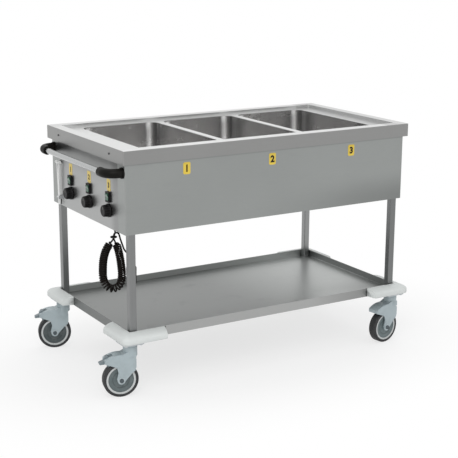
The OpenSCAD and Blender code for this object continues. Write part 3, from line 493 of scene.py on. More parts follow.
@dataclass(frozen=True)
class DrawnWell(BrushedSteel):
    """Deep drawn bowl: painted highlight bands upright in each round corner, painted shade beside them on the
    long wall.

    A turn tells the place round a corner: below -1 on the short wall, -1 to 1 over the arc, and above 1 on
    the long wall.
    """

    pitch: float = 0.337
    half: Span = (0.155, 0.255)
    corner: float = 0.032
    # Where the painted highlight band and the painted shade flank lie round a corner
    band_turn: tuple[Span, Span] = ((-1.42, -0.95), (-0.30, -0.78))
    flank_turn: tuple[Span, Span] = ((-0.45, 0.0), (4.6, 1.7))
    edge_z: Span = (0.852, 0.846)
    high_z: Span = (0.815, 0.856)
    # Colours of the painted highlight
    gleam: tuple[Colour, Colour] = ((0.97, 0.97, 0.965), WHITE)

    def across_well(self, tree: ShaderTree) -> Signal:
        """Distance along X from the middle of the nearest well: what is left over from whole pitches."""
        return ((tree.x / self.pitch + 0.5).fract() - 0.5) * self.pitch

    def round_corner(self, tree: ShaderTree, turns: tuple[Span, Span]) -> Signal:
        """Where the turn round the corner lies in a range with soft ends.

        Args:
            tree: the new material.
            turns: where the range comes in, and where it goes out.

        Returns:
            The mask.
        """
        turn = ((abs(self.across_well(tree)) - self.half[0]) - (abs(tree.y) - self.half[1])) / self.corner
        return turn.between(*turns[0]) * turn.between(*turns[1])

    def band(self, tree: ShaderTree) -> Signal:
        """Where the painted highlight band lies: from before the arc to its middle, and up to just below the
        mouth.
        """
        near = (self.half[1] - self.corner - abs(tree.y)).between(0.012, 0.0)
        return self.round_corner(tree, self.band_turn) * near * self.below_mouth(tree)

    def below_mouth(self, tree: ShaderTree) -> Signal:
        """Zero on the mouth's rolled edge, except at the corners on the right, where light falls on it."""
        right = self.across_well(tree).between(0.05 * self.pitch, 0.10 * self.pitch)
        return right.maths("MAXIMUM", tree.z.between(*self.edge_z))

    def mark(self, tree: ShaderTree, base: Signal, level: Signal) -> Signal:
        """The painted highlight band and, beyond it, a painted shade flank on the long wall.

        Args:
            tree: the new material.
            base: the sheet's plain colour.
            level: its scratches, from dark to pale.

        Returns:
            The colour.
        """
        near = (self.half[0] - self.corner * 1.5 - abs(self.across_well(tree))).between(0.010, 0.0)
        flank = self.round_corner(tree, self.flank_turn) * near * self.below_mouth(tree)
        # Painted shade on the flank beside each corner's band
        shade_painted = (flank * 0.9).tint(base, self.tones(level, 0.30, 0.42))
        # Painted highlight: the band takes the pale highlight colours
        return self.band(tree).tint(shade_painted, level.tint(*self.gleam))

    def metallic(self, tree: ShaderTree) -> Any:
        """Less on the painted highlight band, most of all near the mouth: its pale scatter shows against any
        room.
        """
        return 1.0 - self.band(tree) * (tree.z.between(*self.high_z) * 0.40 + 0.30)


@dataclass(frozen=True)
class TrayShelf(BrushedSteel):
    """Shelf with a rim: painted highlights on the long outer faces and inner walls, painted light on the floor
    to the right.

    A painted shadow lies on each long face where a bumper's arm ends.
    """

    half: Span = (0.5775, 0.3030)
    skin: Span = (0.0012, 0.0004)
    wall: float = 0.0034
    floor_z: float = 0.2085
    seam_x: Span = (0.4365, 0.4385)
    # Colours of the painted highlight on the long outer faces
    outer: tuple[Colour, Colour] = ((0.34, 0.345, 0.34), (0.45, 0.455, 0.45))

    def mark(self, tree: ShaderTree, base: Signal, level: Signal) -> Signal:
        """Painted light and shade, from how far inside the outer faces a place lies and from its height over
        the floor.

        Args:
            tree: the new material.
            base: the sheet's plain colour.
            level: its scratches, from dark to pale.

        Returns:
            The colour.
        """
        x, y, z = tree.x, tree.y, tree.z
        inside = self.half[1] - abs(y)
        outer = inside.between(*self.skin)
        wall = inside.between(self.wall + 0.0016, self.wall) * z.between(self.floor_z, self.floor_z + 0.002)
        low = z.between(self.floor_z + 0.002, self.floor_z + 0.001)
        front_right = x.between(0.28, 0.50) * y.between(-0.05, -0.25)
        # Painted light: the floor paler to the right, less so at the front right, and the inner walls paler
        # still
        paler = x.between(-0.08, 0.50) * (1.0 - front_right * 0.75) * low
        floor = paler.tint(base, self.tones(level, 1.45, 2.45))
        inner = (wall * 0.9).tint(floor, self.tones(level, 1.7, 2.2))
        # Painted shade on the end faces; on the long outer faces the painted highlight, with painted shade
        # towards the right
        ends = ((self.half[0] - abs(x)).between(*self.skin) * 0.8).tint(inner, shaded(self.colour, 0.78))
        sides = (x.between(0.15, 0.45) * 0.32).tint(level.tint(*self.outer), shaded(self.colour, 0.2))
        # Painted shadow on each long face where a bumper's arm ends
        bumper_shadow = abs(x).between(*self.seam_x) * outer * 0.85
        return bumper_shadow.tint(outer.tint(ends, sides), shaded(self.colour, 0.15))


@dataclass(frozen=True)
class PolishedSteel(Finish):
    """Bright drawn tube with faint drawing lines and fingerprints."""

    colour: Colour
    roughness: float = 0.16

    def paint(self, tree: ShaderTree) -> None:
        """Lines are noise stretched along Y; fingerprints dull the surface where a cloud is dense.

        Args:
            tree: the new material.
        """
        lines = tree.noise(scale=30.0, stretch=(40.0, 0.6, 40.0))
        prints = tree.noise(scale=26.0, detail=3.0).between(0.52, 0.72)
        tree.fit(
            Base_Color=lines.tint(shaded(self.colour, 0.92), self.colour),
            Metallic=1.0,
            Roughness=prints * 0.10 + lines * 0.06 + self.roughness,
        )
        tree.bump(lines, strength=0.05, depth=0.0003)


@dataclass(frozen=True)
class MouldedPlastic(Finish):
    """Moulded plastic with a fine eroded grain and slightly paler worn patches."""

    colour: Colour
    roughness: float = 0.5
    grain: float = 900.0
    wear: float = 0.25
    shine: float = 0.22

    def paint(self, tree: ShaderTree) -> None:
        """The grain is fine noise; wear is a wide cloud.

        Args:
            tree: the new material.
        """
        grain = tree.noise(scale=self.grain, rough=0.6)
        patch = tree.noise(scale=34.0, detail=3.0).between(0.45, 0.75)
        worn = tuple(min(1.0, part * (1.0 + self.wear) + 0.012 * self.wear) for part in self.colour)
        tree.fit(
            Base_Color=(patch * 0.8 + grain * 0.2).tint(self.colour, worn),
            Roughness=grain * 0.14 + patch * 0.08 + (self.roughness - 0.1),
            Specular_IOR_Level=self.shine,
        )
        tree.bump(grain, strength=0.18, depth=0.0003)


@dataclass(frozen=True)
class CastMetal(Finish):
    """Plated, painted or fired metal with a faint orange peel, pores and dust."""

    colour: Colour
    roughness: float = 0.4
    metal: float = 0.35

    def mark(self, tree: ShaderTree, base: Signal) -> Signal:
        """Colour of the piece's own places over its plain colour; here it has none."""
        return base

    def paint(self, tree: ShaderTree) -> None:
        """Orange peel is middling noise, pores are small cells, and dust gathers in a wide cloud.

        Args:
            tree: the new material.
        """
        peel = tree.noise(scale=260.0)
        dust = tree.noise(scale=22.0, detail=4.0, rough=0.6).between(0.42, 0.78)
        pores = tree.cells(scale=320.0).between(0.30, 0.05)
        dusty = (dust * 0.7 + pores * 0.2).tint(self.colour, shaded(self.colour, 0.82))
        tree.fit(
            Base_Color=self.mark(tree, dusty),
            Metallic=self.metal,
            Roughness=dust * 0.16 + peel * 0.08 + (self.roughness - 0.06),
        )
        tree.bump(peel, strength=0.10, depth=0.0004)


@dataclass(frozen=True)
class HubbedFork(CastMetal):
    """Enamelled fork with a bare nut on a worn pale boss at each end of the axle."""

    hub: Triple = (0.0, 0.0, 0.0)
    axle: Triple = (0.0, 1.0, 0.0)
    boss: Colour = (0.52, 0.58, 0.60)
    nut: Colour = (0.075, 0.095, 0.105)
    boss_edge: Span = (0.0112, 0.0104)
    nut_edge: Span = (0.0082, 0.0074)

    def mark(self, tree: ShaderTree, base: Signal) -> Signal:
        """Boss and nut are rings about the axle's line, told by the distance from it.

        Args:
            tree: the new material.
            base: the fork's plain colour.

        Returns:
            The colour.
        """
        away = tree.from_line(self.hub, self.axle)
        ringed = away.between(*self.boss_edge).tint(base, self.boss)
        return away.between(*self.nut_edge).tint(ringed, self.nut)


@dataclass(frozen=True)
class Rubber(Finish):
    """Matt rubber or soft moulding with fine dust: tyres, corner bumpers, cord and plug."""

    colour: Colour
    roughness: float
    dust: Colour
    amount: float
    shine: float = 0.25

    def paint(self, tree: ShaderTree) -> None:
        """Dust lies in clouds and in fine specks.

        Args:
            tree: the new material.
        """
        clouds = tree.noise(scale=30.0, detail=4.0, rough=0.6).between(0.40, 0.80)
        specks = tree.noise(scale=700.0, detail=1.0).between(0.60, 0.72)
        fine = tree.noise(scale=420.0, detail=3.0)
        tree.fit(
            Base_Color=(clouds * self.amount + specks * self.amount * 0.6).tint(self.colour, self.dust),
            Roughness=fine * 0.16 + (self.roughness - 0.08),
            Specular_IOR_Level=self.shine,
        )
        tree.bump(fine, strength=0.16, depth=0.0004)


@dataclass(frozen=True)
class WheelDisc(Finish):
    """Wheel centre in rings about its axle: hub, dark disc with a groove in painted shade, and pale rim."""

    hub: Triple
    axle: Triple
    # Painted light: a factor that makes this wheel centre paler or darker than the others
    tone: float = 1.0
    disc: Colour = (0.115, 0.145, 0.150)
    rim: Colour = (0.60, 0.62, 0.62)
    dust: Colour = (0.42, 0.43, 0.43)
    hub_edge: Span = (0.0134, 0.0126)
    groove_in: Span = (0.0272, 0.0278)
    groove_out: Span = (0.0312, 0.0306)
    rim_edge: Span = (0.0446, 0.0454)

    def paint(self, tree: ShaderTree) -> None:
        """Each ring is a soft step on the distance from the axle's line.

        Args:
            tree: the new material.
        """
        away = tree.from_line(self.hub, self.axle)
        groove = away.between(*self.groove_in) * away.between(*self.groove_out)
        rim = away.between(*self.rim_edge)
        dust = tree.noise(scale=60.0, detail=4.0).between(0.40, 0.80)
        fine = tree.noise(scale=500.0)
        # Painted shade in the groove ring, darker than the disc
        disc = groove.tint(shaded(self.disc, self.tone), shaded(self.disc, self.tone * 0.72))
        centred = away.between(*self.hub_edge).tint(disc, shaded(self.disc, self.tone * 1.5))
        tree.fit(
            Base_Color=(dust * 0.14).tint(rim.tint(centred, self.rim), self.dust),
            Roughness=fine * 0.14 + rim * -0.10 + 0.44,
        )
        tree.bump(fine, strength=0.10, depth=0.0003)


@dataclass(frozen=True)
class LitRocker(Finish):
    """Translucent green rocker with fine ribs and a faint glow from the lamp behind it."""

    colour: Colour = (0.008, 0.060, 0.030)
    glow: Colour = (0.020, 0.155, 0.075)
    rib_rate: float = 900.0

    def paint(self, tree: ShaderTree) -> None:
        """The glow follows a soft cloud; the ribs are a sine of the height.

        Args:
            tree: the new material.
        """
        soft = tree.noise(scale=90.0)
        ribs = (tree.z * self.rib_rate).sine() * 0.5 + 0.5
        tree.fit(
            Base_Color=(soft * 0.5 + ribs * 0.2).tint(self.colour, self.glow),
            Roughness=soft * 0.1 + 0.18,
            Coat_Weight=0.4,
            Emission_Color=soft.tint(shaded(self.glow, 0.3), self.glow),
            Emission_Strength=0.05,
        )
        tree.bump(ribs, strength=0.2, depth=0.0003)


@dataclass(frozen=True)
class PrintedLabel(Finish):
    """Glossy yellow plate, slightly mottled."""

    colour: Colour = (0.76, 0.55, 0.045)

    def paint(self, tree: ShaderTree) -> None:
        """Mottle is soft noise under a clear coat.

        Args:
            tree: the new material.
        """
        fine = tree.noise(scale=900.0, detail=1.0)
        mottle = tree.noise(scale=70.0, detail=3.0)
        tree.fit(
            Base_Color=mottle.tint(shaded(self.colour, 0.90), shaded(self.colour, 1.08)),
            Roughness=fine * 0.12 + 0.26,
            Coat_Weight=0.5,
        )
        tree.bump(fine, strength=0.06, depth=0.0002)


@dataclass(frozen=True)
class FloorPaper(Finish):
    """Matt paper that takes the shadow near the trolley, and for the eye is plain white further off."""

    white: float = 0.93
    mottle: float = 0.01
    glow: float = 0.70
    oval: Triple = (0.62, 1.0, 1.0)
    fade: Span = (0.40, 0.90)

    def paint(self, tree: ShaderTree) -> None:
        """Mixes matt paper with a plain white glow by the distance from the middle, in ovals along X.

        Args:
            tree: the new material.
        """
        away = tree.vector("LENGTH", tree.vector("MULTIPLY", tree.places, self.oval), output="Value")
        glow = tree.eye_rays() * (self.glow + away.between(*self.fade) * (1.0 - self.glow))
        dark, pale = ((self.white + step,) * 3 for step in (-self.mottle, self.mottle))
        matt = tree.signal("BsdfDiffuse", {}, {"Color": tree.noise(scale=40.0, detail=3.0).tint(dark, pale)})
        shine = tree.signal("Emission", {}, {"Color": WHITE, "Strength": 1.0})
        tree.feed(tree.output.inputs["Surface"], tree.signal("MixShader", {}, {0: glow, 1: matt, 2: shine}))


# Mesh making


def show(name: str, data: bpy.types.ID) -> bpy.types.Object:
    """Makes an object for a mesh, curve, lamp or camera and links it to the scene.

    Args:
        name: the object's name.
        data: what it shows.

    Returns:
        The object.
    """
    made = bpy.data.objects.new(name, data)
    bpy.context.scene.collection.objects.link(made)
    return made


def dress(piece: bpy.types.Object, finish: Finish, body: str, slot: str, *replaced: str) -> bpy.types.Object:
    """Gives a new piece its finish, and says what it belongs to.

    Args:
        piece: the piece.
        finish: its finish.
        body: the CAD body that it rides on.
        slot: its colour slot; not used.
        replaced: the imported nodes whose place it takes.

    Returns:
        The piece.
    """
    piece.data.materials.append(material_of(finish))
    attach(piece, body)
    if replaced:
        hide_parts(*replaced)
    return piece


@dataclass
class Surface:
    """A mesh made from grids of points, each a run of rings or an open sheet."""

    name: str
    points: list[Array] = field(default_factory=list)
    faces: list[Array] = field(default_factory=list)
    caps: list[Array] = field(default_factory=list)
    count: int = 0

    def grid(self, points: Array, closed: bool = True) -> "Surface":
        """Adds rings of points in order, each joined to the next by four-sided faces.

        Args:
            points: rings by points by 3; a ring runs counter-clockwise seen from its far end.
            closed: whether each ring closes on itself and the first and the last are filled.

        Returns:
            The surface itself.
        """
        rings, sides, _ = points.shape
        index = np.arange(rings * sides).reshape(rings, sides) + self.count
        here = index if closed else index[:, :-1]
        beside = np.roll(index, -1, axis=1) if closed else index[:, 1:]
        quads = np.stack([here[:-1], beside[:-1], beside[1:], here[1:]], axis=-1)
        self.points.append(points.reshape(-1, 3))
        self.faces.append(quads.reshape(-1, 4))
        if closed:
            self.caps += [index[0][::-1], index[-1]]
        self.count += rings * sides
        return self

    def build(self) -> bpy.types.Object:
        """Puts the grids into one smooth mesh object at the origin.

        Returns:
            The object, linked to the scene.
        """
        mesh = bpy.data.meshes.new(self.name)
        faces = np.concatenate(self.faces).tolist() + [cap.tolist() for cap in self.caps]
        mesh.from_pydata(np.concatenate(self.points).tolist(), [], faces)
        mesh.validate()
        mesh.polygons.foreach_set("use_smooth", np.full(len(mesh.polygons), True))
        return show(self.name, mesh)


def full_turn(sides: int) -> Array:
    """Angles evenly round a circle, the last one short of the first."""
    return np.linspace(0.0, 2 * np.pi, sides, endpoint=False)


def unit(vectors: Array) -> Array:
    """Vectors divided by their lengths."""
    return vectors / np.linalg.norm(vectors, axis=-1, keepdims=True)


def across(reference: Array, along: Array) -> Array:
    """The reference less its part along the direction, at unit length."""
    return unit(reference - (reference * along).sum(-1, keepdims=True) * along)


def curve_through(points: Array, places: Array) -> Array:
    """Smooth curve through points: each span is a cubic whose end slopes are half the neighbours' chord.

    Args:
        points: the points it passes, n by 3.
        places: where it is read, from 0 to n - 1.

    Returns:
        A point for each place.
    """
    ends = np.vstack([2 * points[0] - points[1], points, 2 * points[-1] - points[-2]])
    span = np.clip(np.floor(places).astype(int), 0, len(points) - 2)
    part = (places - span)[:, None]
    before, start, end, after = (ends[span + step] for step in range(4))
    square = 2 * before - 5 * start + 4 * end - after
    cube = 3 * start - before - 3 * end + after
    return start + part * ((end - before) / 2 + part * (square / 2 + part * cube / 2))


def tube(line: Array, radius: float, reference: Array, sides: int) -> Array:
    """Rings of a tube: each point is the line's own plus the radius times cosine and sine of two normals.

    Args:
        line: the middle line, n by 3.
        radius: the tube's radius.
        reference: a direction off the line at each of its points.
        sides: points round the tube.

    Returns:
        n by sides by 3.
    """
    along = unit(np.gradient(line, axis=0))
    first = across(reference, along)[:, None, :]
    second = np.cross(along, first[:, 0])[:, None, :]
    turn = full_turn(sides)[None, :, None]
    return line[:, None, :] + radius * (np.cos(turn) * first + np.sin(turn) * second)


# The set-up


@dataclass(frozen=True)
class Lamp:
    """Square soft lamp: where it hangs, what it points at, its side in metres and its power in watts."""

    name: str
    place: Triple
    target: Triple
    size: float
    power: float

    def build(self) -> None:
        """Makes the lamp and turns it to its target."""
        data = bpy.data.lights.new(self.name, "AREA")
        data.shape, data.size, data.energy = "SQUARE", self.size, self.power
        made = show(self.name, data)
        made.location = self.place
        made.rotation_euler = (Vector(self.target) - Vector(self.place)).to_track_quat("-Z", "Y").to_euler()


@dataclass
class Studio:
    """Camera, soft lamps, white surroundings and a pale floor; the camera's place is in millimetres."""

    lens: float = 91.626
    sensor: float = 36.0
    reach: float = 200.0
    place: Triple = (-2250.603, -3707.355, 1550.418)
    right: Triple = (0.855340, -0.518041, 0.005182)
    down: Triple = (-0.122162, -0.211402, -0.969735)
    ahead: Triple = (0.503458, 0.828820, -0.244106)
    ambient: float = 0.62
    floor_half: float = 60.0
    paper: Finish = FloorPaper("floor_paper")
    lamps: tuple[Lamp, ...] = (
        Lamp("key", (-1.9, -2.7, 3.0), (0.0, 0.0, 0.6), 2.2, 52.0),
        Lamp("over", (0.4, 0.3, 3.1), (0.1, 0.0, 0.8), 2.6, 26.0),
    )

    def camera(self) -> None:
        """Sets the camera where the photograph was taken from."""
        made = show("camera", bpy.data.cameras.new("camera"))
        made.data.lens, made.data.sensor_width, made.data.clip_end = self.lens, self.sensor, self.reach
        turn = Matrix((Vector(self.right), -Vector(self.down), -Vector(self.ahead))).transposed()
        made.matrix_world = Matrix.Translation(at(*self.place)) @ turn.to_4x4()
        bpy.context.scene.camera = made

    def surroundings(self) -> None:
        """White all round for the eye, and a little less for the light it gives."""
        world = bpy.data.worlds.new("studio")
        world.use_nodes = True
        bpy.context.scene.world = world
        tree = NodeTree(world.node_tree)
        strength = self.ambient + tree.eye_rays() * (1.0 - self.ambient)
        light = tree.signal("Background", {}, {"Color": WHITE, "Strength": strength})
        tree.node("OutputWorld", {}, {"Surface": light})

    def floor(self) -> None:
        """Flat sheet of paper, wider than any view."""
        side = np.linspace(-self.floor_half, self.floor_half, 3)
        x, y = np.meshgrid(side, side)
        made = Surface("floor").grid(np.stack([x, y, x * 0.0], axis=-1), closed=False).build()
        made.data.materials.append(material_of(self.paper))

    def build(self) -> None:
        """Makes the camera, the surroundings, the floor and the lamps."""
        self.camera()
        self.surroundings()
        self.floor()
        for lamp in self.lamps:
            lamp.build()
        bpy.context.scene.view_settings.view_transform = "Standard"


# The cord


@dataclass
class CurlyCord:
    """Coiled mains cord: plain lead from the gland, a hanging loop of curls and a plain tail to the plug.

    Sizes are in millimetres. The route is in the cord's own frame: u across the cord, v behind it and z up
    from the lead's top.
    """

    top: Triple = (-566.0, -178.0, 561.5)
    turn: float = -31.0
    radius: float = 3.0
    curl_radius: float = 11.8
    curl_step: float = 6.4
    curl_gap: float = 0.3
    ramp_length: float = 15.5
    ramp_step: float = 16.0
    sides: int = 12
    rings_a_curl: int = 24
    samples_a_span: int = 96
    smoothing: int = 25
    slope_reach: float = 0.02
    lead_rings: int = 31
    tail_rings: int = 92
    lead: tuple[Triple, ...] = (
        (0, 0, 0), (0, 0, -6), (-2.3, -1.9, -13), (-4.8, -3.3, -19.5), (-5.8, -3.8, -25), (-8.5, -5.5, -31),
    )
    coil: tuple[Triple, ...] = (
        (-8.5, -5.5, -31), (-19, -9, -45), (-32, -8, -67), (-42, -5, -104), (-45, -1, -148),
        (-43.8, -0.5, -170), (-37.5, 0, -189.5), (-25.5, 0, -202.5), (-11, 0.5, -206.5), (3.5, 1, -202),
        (14.8, 2, -189), (19.6, 3.5, -170), (20.5, 5, -148), (15.5, 9.5, -104), (7.5, 13, -66),
        (-3, 7.5, -36),
    )
    tail: tuple[Triple, ...] = (
        (-3, 7.5, -36), (-5.1, 4, -27), (-5.3, 3.5, -18), (-2.9, 5.5, -10.9), (3.7, 8.1, -8),
        (10, 11.6, -10.9), (13.2, 13.4, -18.5), (16, 15.5, -31), (21.5, 19.5, -50), (28, 24, -71),
        (36.5, 28.5, -84), (46, 31.5, -93), (51.5, 32, -104), (51.5, 32, -113),
    )
    rubber: Finish = Rubber("cord_rubber", (0.0070, 0.0050, 0.0038), 0.52, (0.09, 0.08, 0.07), 0.05, 0.11)

    def placed(self, points: Array) -> Array:
        """Turns points of the cord's own frame about its lead's top, into metres in the shared frame.

        Args:
            points: u, v and z in millimetres.

        Returns:
            The same points in the shared frame.
        """
        cosine, sine = math.cos(math.radians(self.turn)), math.sin(math.radians(self.turn))
        u, v, z = points[..., 0], points[..., 1], points[..., 2]
        x = (self.top[0] + cosine * u - sine * v) * MM + SHIFT_X
        return np.stack([x, (self.top[1] + sine * u + cosine * v) * MM, (self.top[2] + z) * MM], axis=-1)

    def middle(self, places: Array) -> Array:
        """Middle line of lead, coil and tail as one curve, read at places counted in its points."""
        return curve_through(np.array([*self.lead[:-1], *self.coil, *self.tail[1:]], float), places)

    def coil_ends(self) -> tuple[int, int]:
        """Places on the middle line at which the coil starts and ends."""
        return len(self.lead) - 1, len(self.lead) + len(self.coil) - 2

    def curls_along(self, middle: Array) -> tuple[Array, Array]:
        """Counts the curls along the coil, each of which takes up a step of the middle line.

        In a bend the step grows until the wire clears the next curl on the inner side: it is the wire's width
        and gap over 1 less the curl's radius times the bend. At both ends the curls close on a smooth ramp.

        Args:
            middle: points of the coil's middle line, close together.

        Returns:
            The curls up to each point, and how far they have opened there, from 0 to 1.
        """
        steps = np.linalg.norm(np.diff(middle, axis=0), axis=1)
        length = np.concatenate([[0.0], np.cumsum(steps)])
        along = unit(np.gradient(middle, axis=0))
        bend = np.linalg.norm(np.gradient(along, axis=0), axis=1) / np.gradient(length)
        window = np.full(self.smoothing, 1 / self.smoothing)
        bend = np.convolve(np.pad(bend, self.smoothing // 2, mode="edge"), window, mode="valid")
        wire = 2 * self.radius
        ease = np.clip((np.minimum(length, length[-1] - length) - wire) / self.ramp_length, 0, 1)
        opened = ease * ease * (3 - 2 * ease)
        bent = (wire + self.curl_gap) / (1 - self.curl_radius * bend)
        step = opened * np.maximum(self.curl_step, bent) + (1 - opened) * self.ramp_step
        return np.concatenate([[0.0], np.cumsum(steps / step[:-1])]), opened

    def coil_line(self) -> tuple[Array, Array]:
        """The curls: a circle that turns about the middle line while it moves along it.

        Returns:
            The wire's points and the direction from the middle line to each.
        """
        start, end = self.coil_ends()
        places = np.linspace(start, end, (end - start) * self.samples_a_span + 1)
        curls, opened = self.curls_along(self.middle(places))
        turns = np.linspace(0, curls[-1], int(round(curls[-1] * self.rings_a_curl)))
        where = np.interp(turns, curls, places)
        slope = unit(self.middle(where + self.slope_reach) - self.middle(where - self.slope_reach))
        first = across(np.broadcast_to([0.0, 1.0, 0.0], slope.shape), slope)
        second = np.cross(slope, first)
        angle = 2 * np.pi * turns[:, None]
        out = np.cos(angle) * first + np.sin(angle) * second
        return self.middle(where) + self.curl_radius * np.interp(where, places, opened)[:, None] * out, out

    def line(self) -> tuple[Array, Array]:
        """Lead, curls and tail as one line.

        Returns:
            The points and a direction off the line at each, both in the cord's own frame.
        """
        wire, out = self.coil_line()
        start, end = self.coil_ends()
        lead = self.middle(np.linspace(0, start, self.lead_rings))[:-1]
        tail = self.middle(np.linspace(end, end + len(self.tail) - 1, self.tail_rings))[1:]
        before = np.broadcast_to(out[0], lead.shape)
        after = np.broadcast_to(out[-1], tail.shape)
        return np.vstack([lead, wire, tail]), np.vstack([before, out, after])

    def build(self) -> bpy.types.Object:
        """Makes the cord as one tube.

        Returns:
            The cord.
        """
        line, out = self.line()
        made = Surface("curly_cord").grid(self.placed(tube(line, self.radius, out, self.sides))).build()
        dress(made, self.rubber, HULL, "cord", "cord_lead", "cord_coil", "cord_tail")
        path = self.placed(line)
        return made


@dataclass
class MouldedPlug:
    """Round two-pin plug that hangs from the tail, with grip ribs round its barrel.

    Its profile is given as depth below the tail's end, radius and share of the ribs, and its pins' as depth
    below the plug's face and radius, in millimetres.
    """

    cord: CurlyCord
    profile: tuple[Triple, ...] = (
        (0, 4.6, 0), (2, 5.2, 0), (5, 4.8, 0), (8, 6.0, 0), (11, 5.4, 0), (16, 7.0, 0), (18, 9.5, 0),
        (19.5, 13.5, 0), (22, 16.6, 0), (26, 18.2, 0), (32, 18.5, 0), (40, 18.2, 1), (58, 18.0, 1),
        (78, 18.2, 0), (82, 18.4, 0), (83.5, 17.8, 0), (84, 16.5, 0),
    )
    ribs: int = 18
    rib_depth: float = 0.9
    sides: int = 144
    pin_profile: tuple[Span, ...] = ((-1, 2.4), (0, 2.4), (10, 2.4), (16.8, 2.4), (18.2, 1.92), (19, 0.84))
    pin_spacing: float = 9.5
    pin_sides: int = 20
    rubber: Finish = Rubber("plug_rubber", (0.013, 0.013, 0.014), 0.5, (0.10, 0.10, 0.10), 0.12)
    brass: Finish = CastMetal("pin_metal", (0.62, 0.60, 0.55), 0.25, 1.0)

    def turned(self, depth: Array, radius: Array, turn: Array, aside: float = 0.0) -> Array:
        """Rings about an upright axis: each point lies its radius off it, at its turn.

        Args:
            depth: how far each ring lies below the tail's end, rings by 1.
            radius: rings by points, or rings by 1.
            turn: the angle of each point of a ring.
            aside: how far the axis lies beside the tail's end.

        Returns:
            Rings by points by 3, in the cord's own frame.
        """
        u, v, z = self.cord.tail[-1]
        wide = u + aside + radius * np.cos(-turn)
        return np.stack([wide, v + radius * np.sin(-turn), np.broadcast_to(z - depth, wide.shape)], axis=-1)

    def barrel(self) -> Array:
        """Neck, shoulder, barrel and flat face, with a cosine of the turn taken off the radius for the ribs.

        Returns:
            Rings by points by 3, in the cord's own frame.
        """
        depth, radius, ribbed = np.array(self.profile, float).T[..., None]
        turn = full_turn(self.sides)
        ridge = self.rib_depth / 2 * (np.cos(self.ribs * turn) - 1)
        return self.turned(depth, radius + ribbed * ridge, turn)

    def pin(self, side: int) -> Array:
        """One pin with a rounded tip.

        Args:
            side: -1 or 1.

        Returns:
            Rings by points by 3, in the cord's own frame.
        """
        face = self.profile[-1][0]
        depth, radius = np.array(self.pin_profile, float).T[..., None]
        return self.turned(face + depth, radius, full_turn(self.pin_sides), side * self.pin_spacing)

    def build(self) -> list[bpy.types.Object]:
        """Makes the plug's body and its two pins.

        Returns:
            The three pieces.
        """
        body = Surface("moulded_plug").grid(self.cord.placed(self.barrel())).build()
        pieces = [dress(body, self.rubber, HULL, "cord", "plug")]
        for side, name in ((-1, "plug_pin_left"), (1, "plug_pin_right")):
            pin = Surface(name).grid(self.cord.placed(self.pin(side))).build()
            pieces.append(dress(pin, self.brass, HULL, "brass"))
        return pieces


# Knobs and bumpers


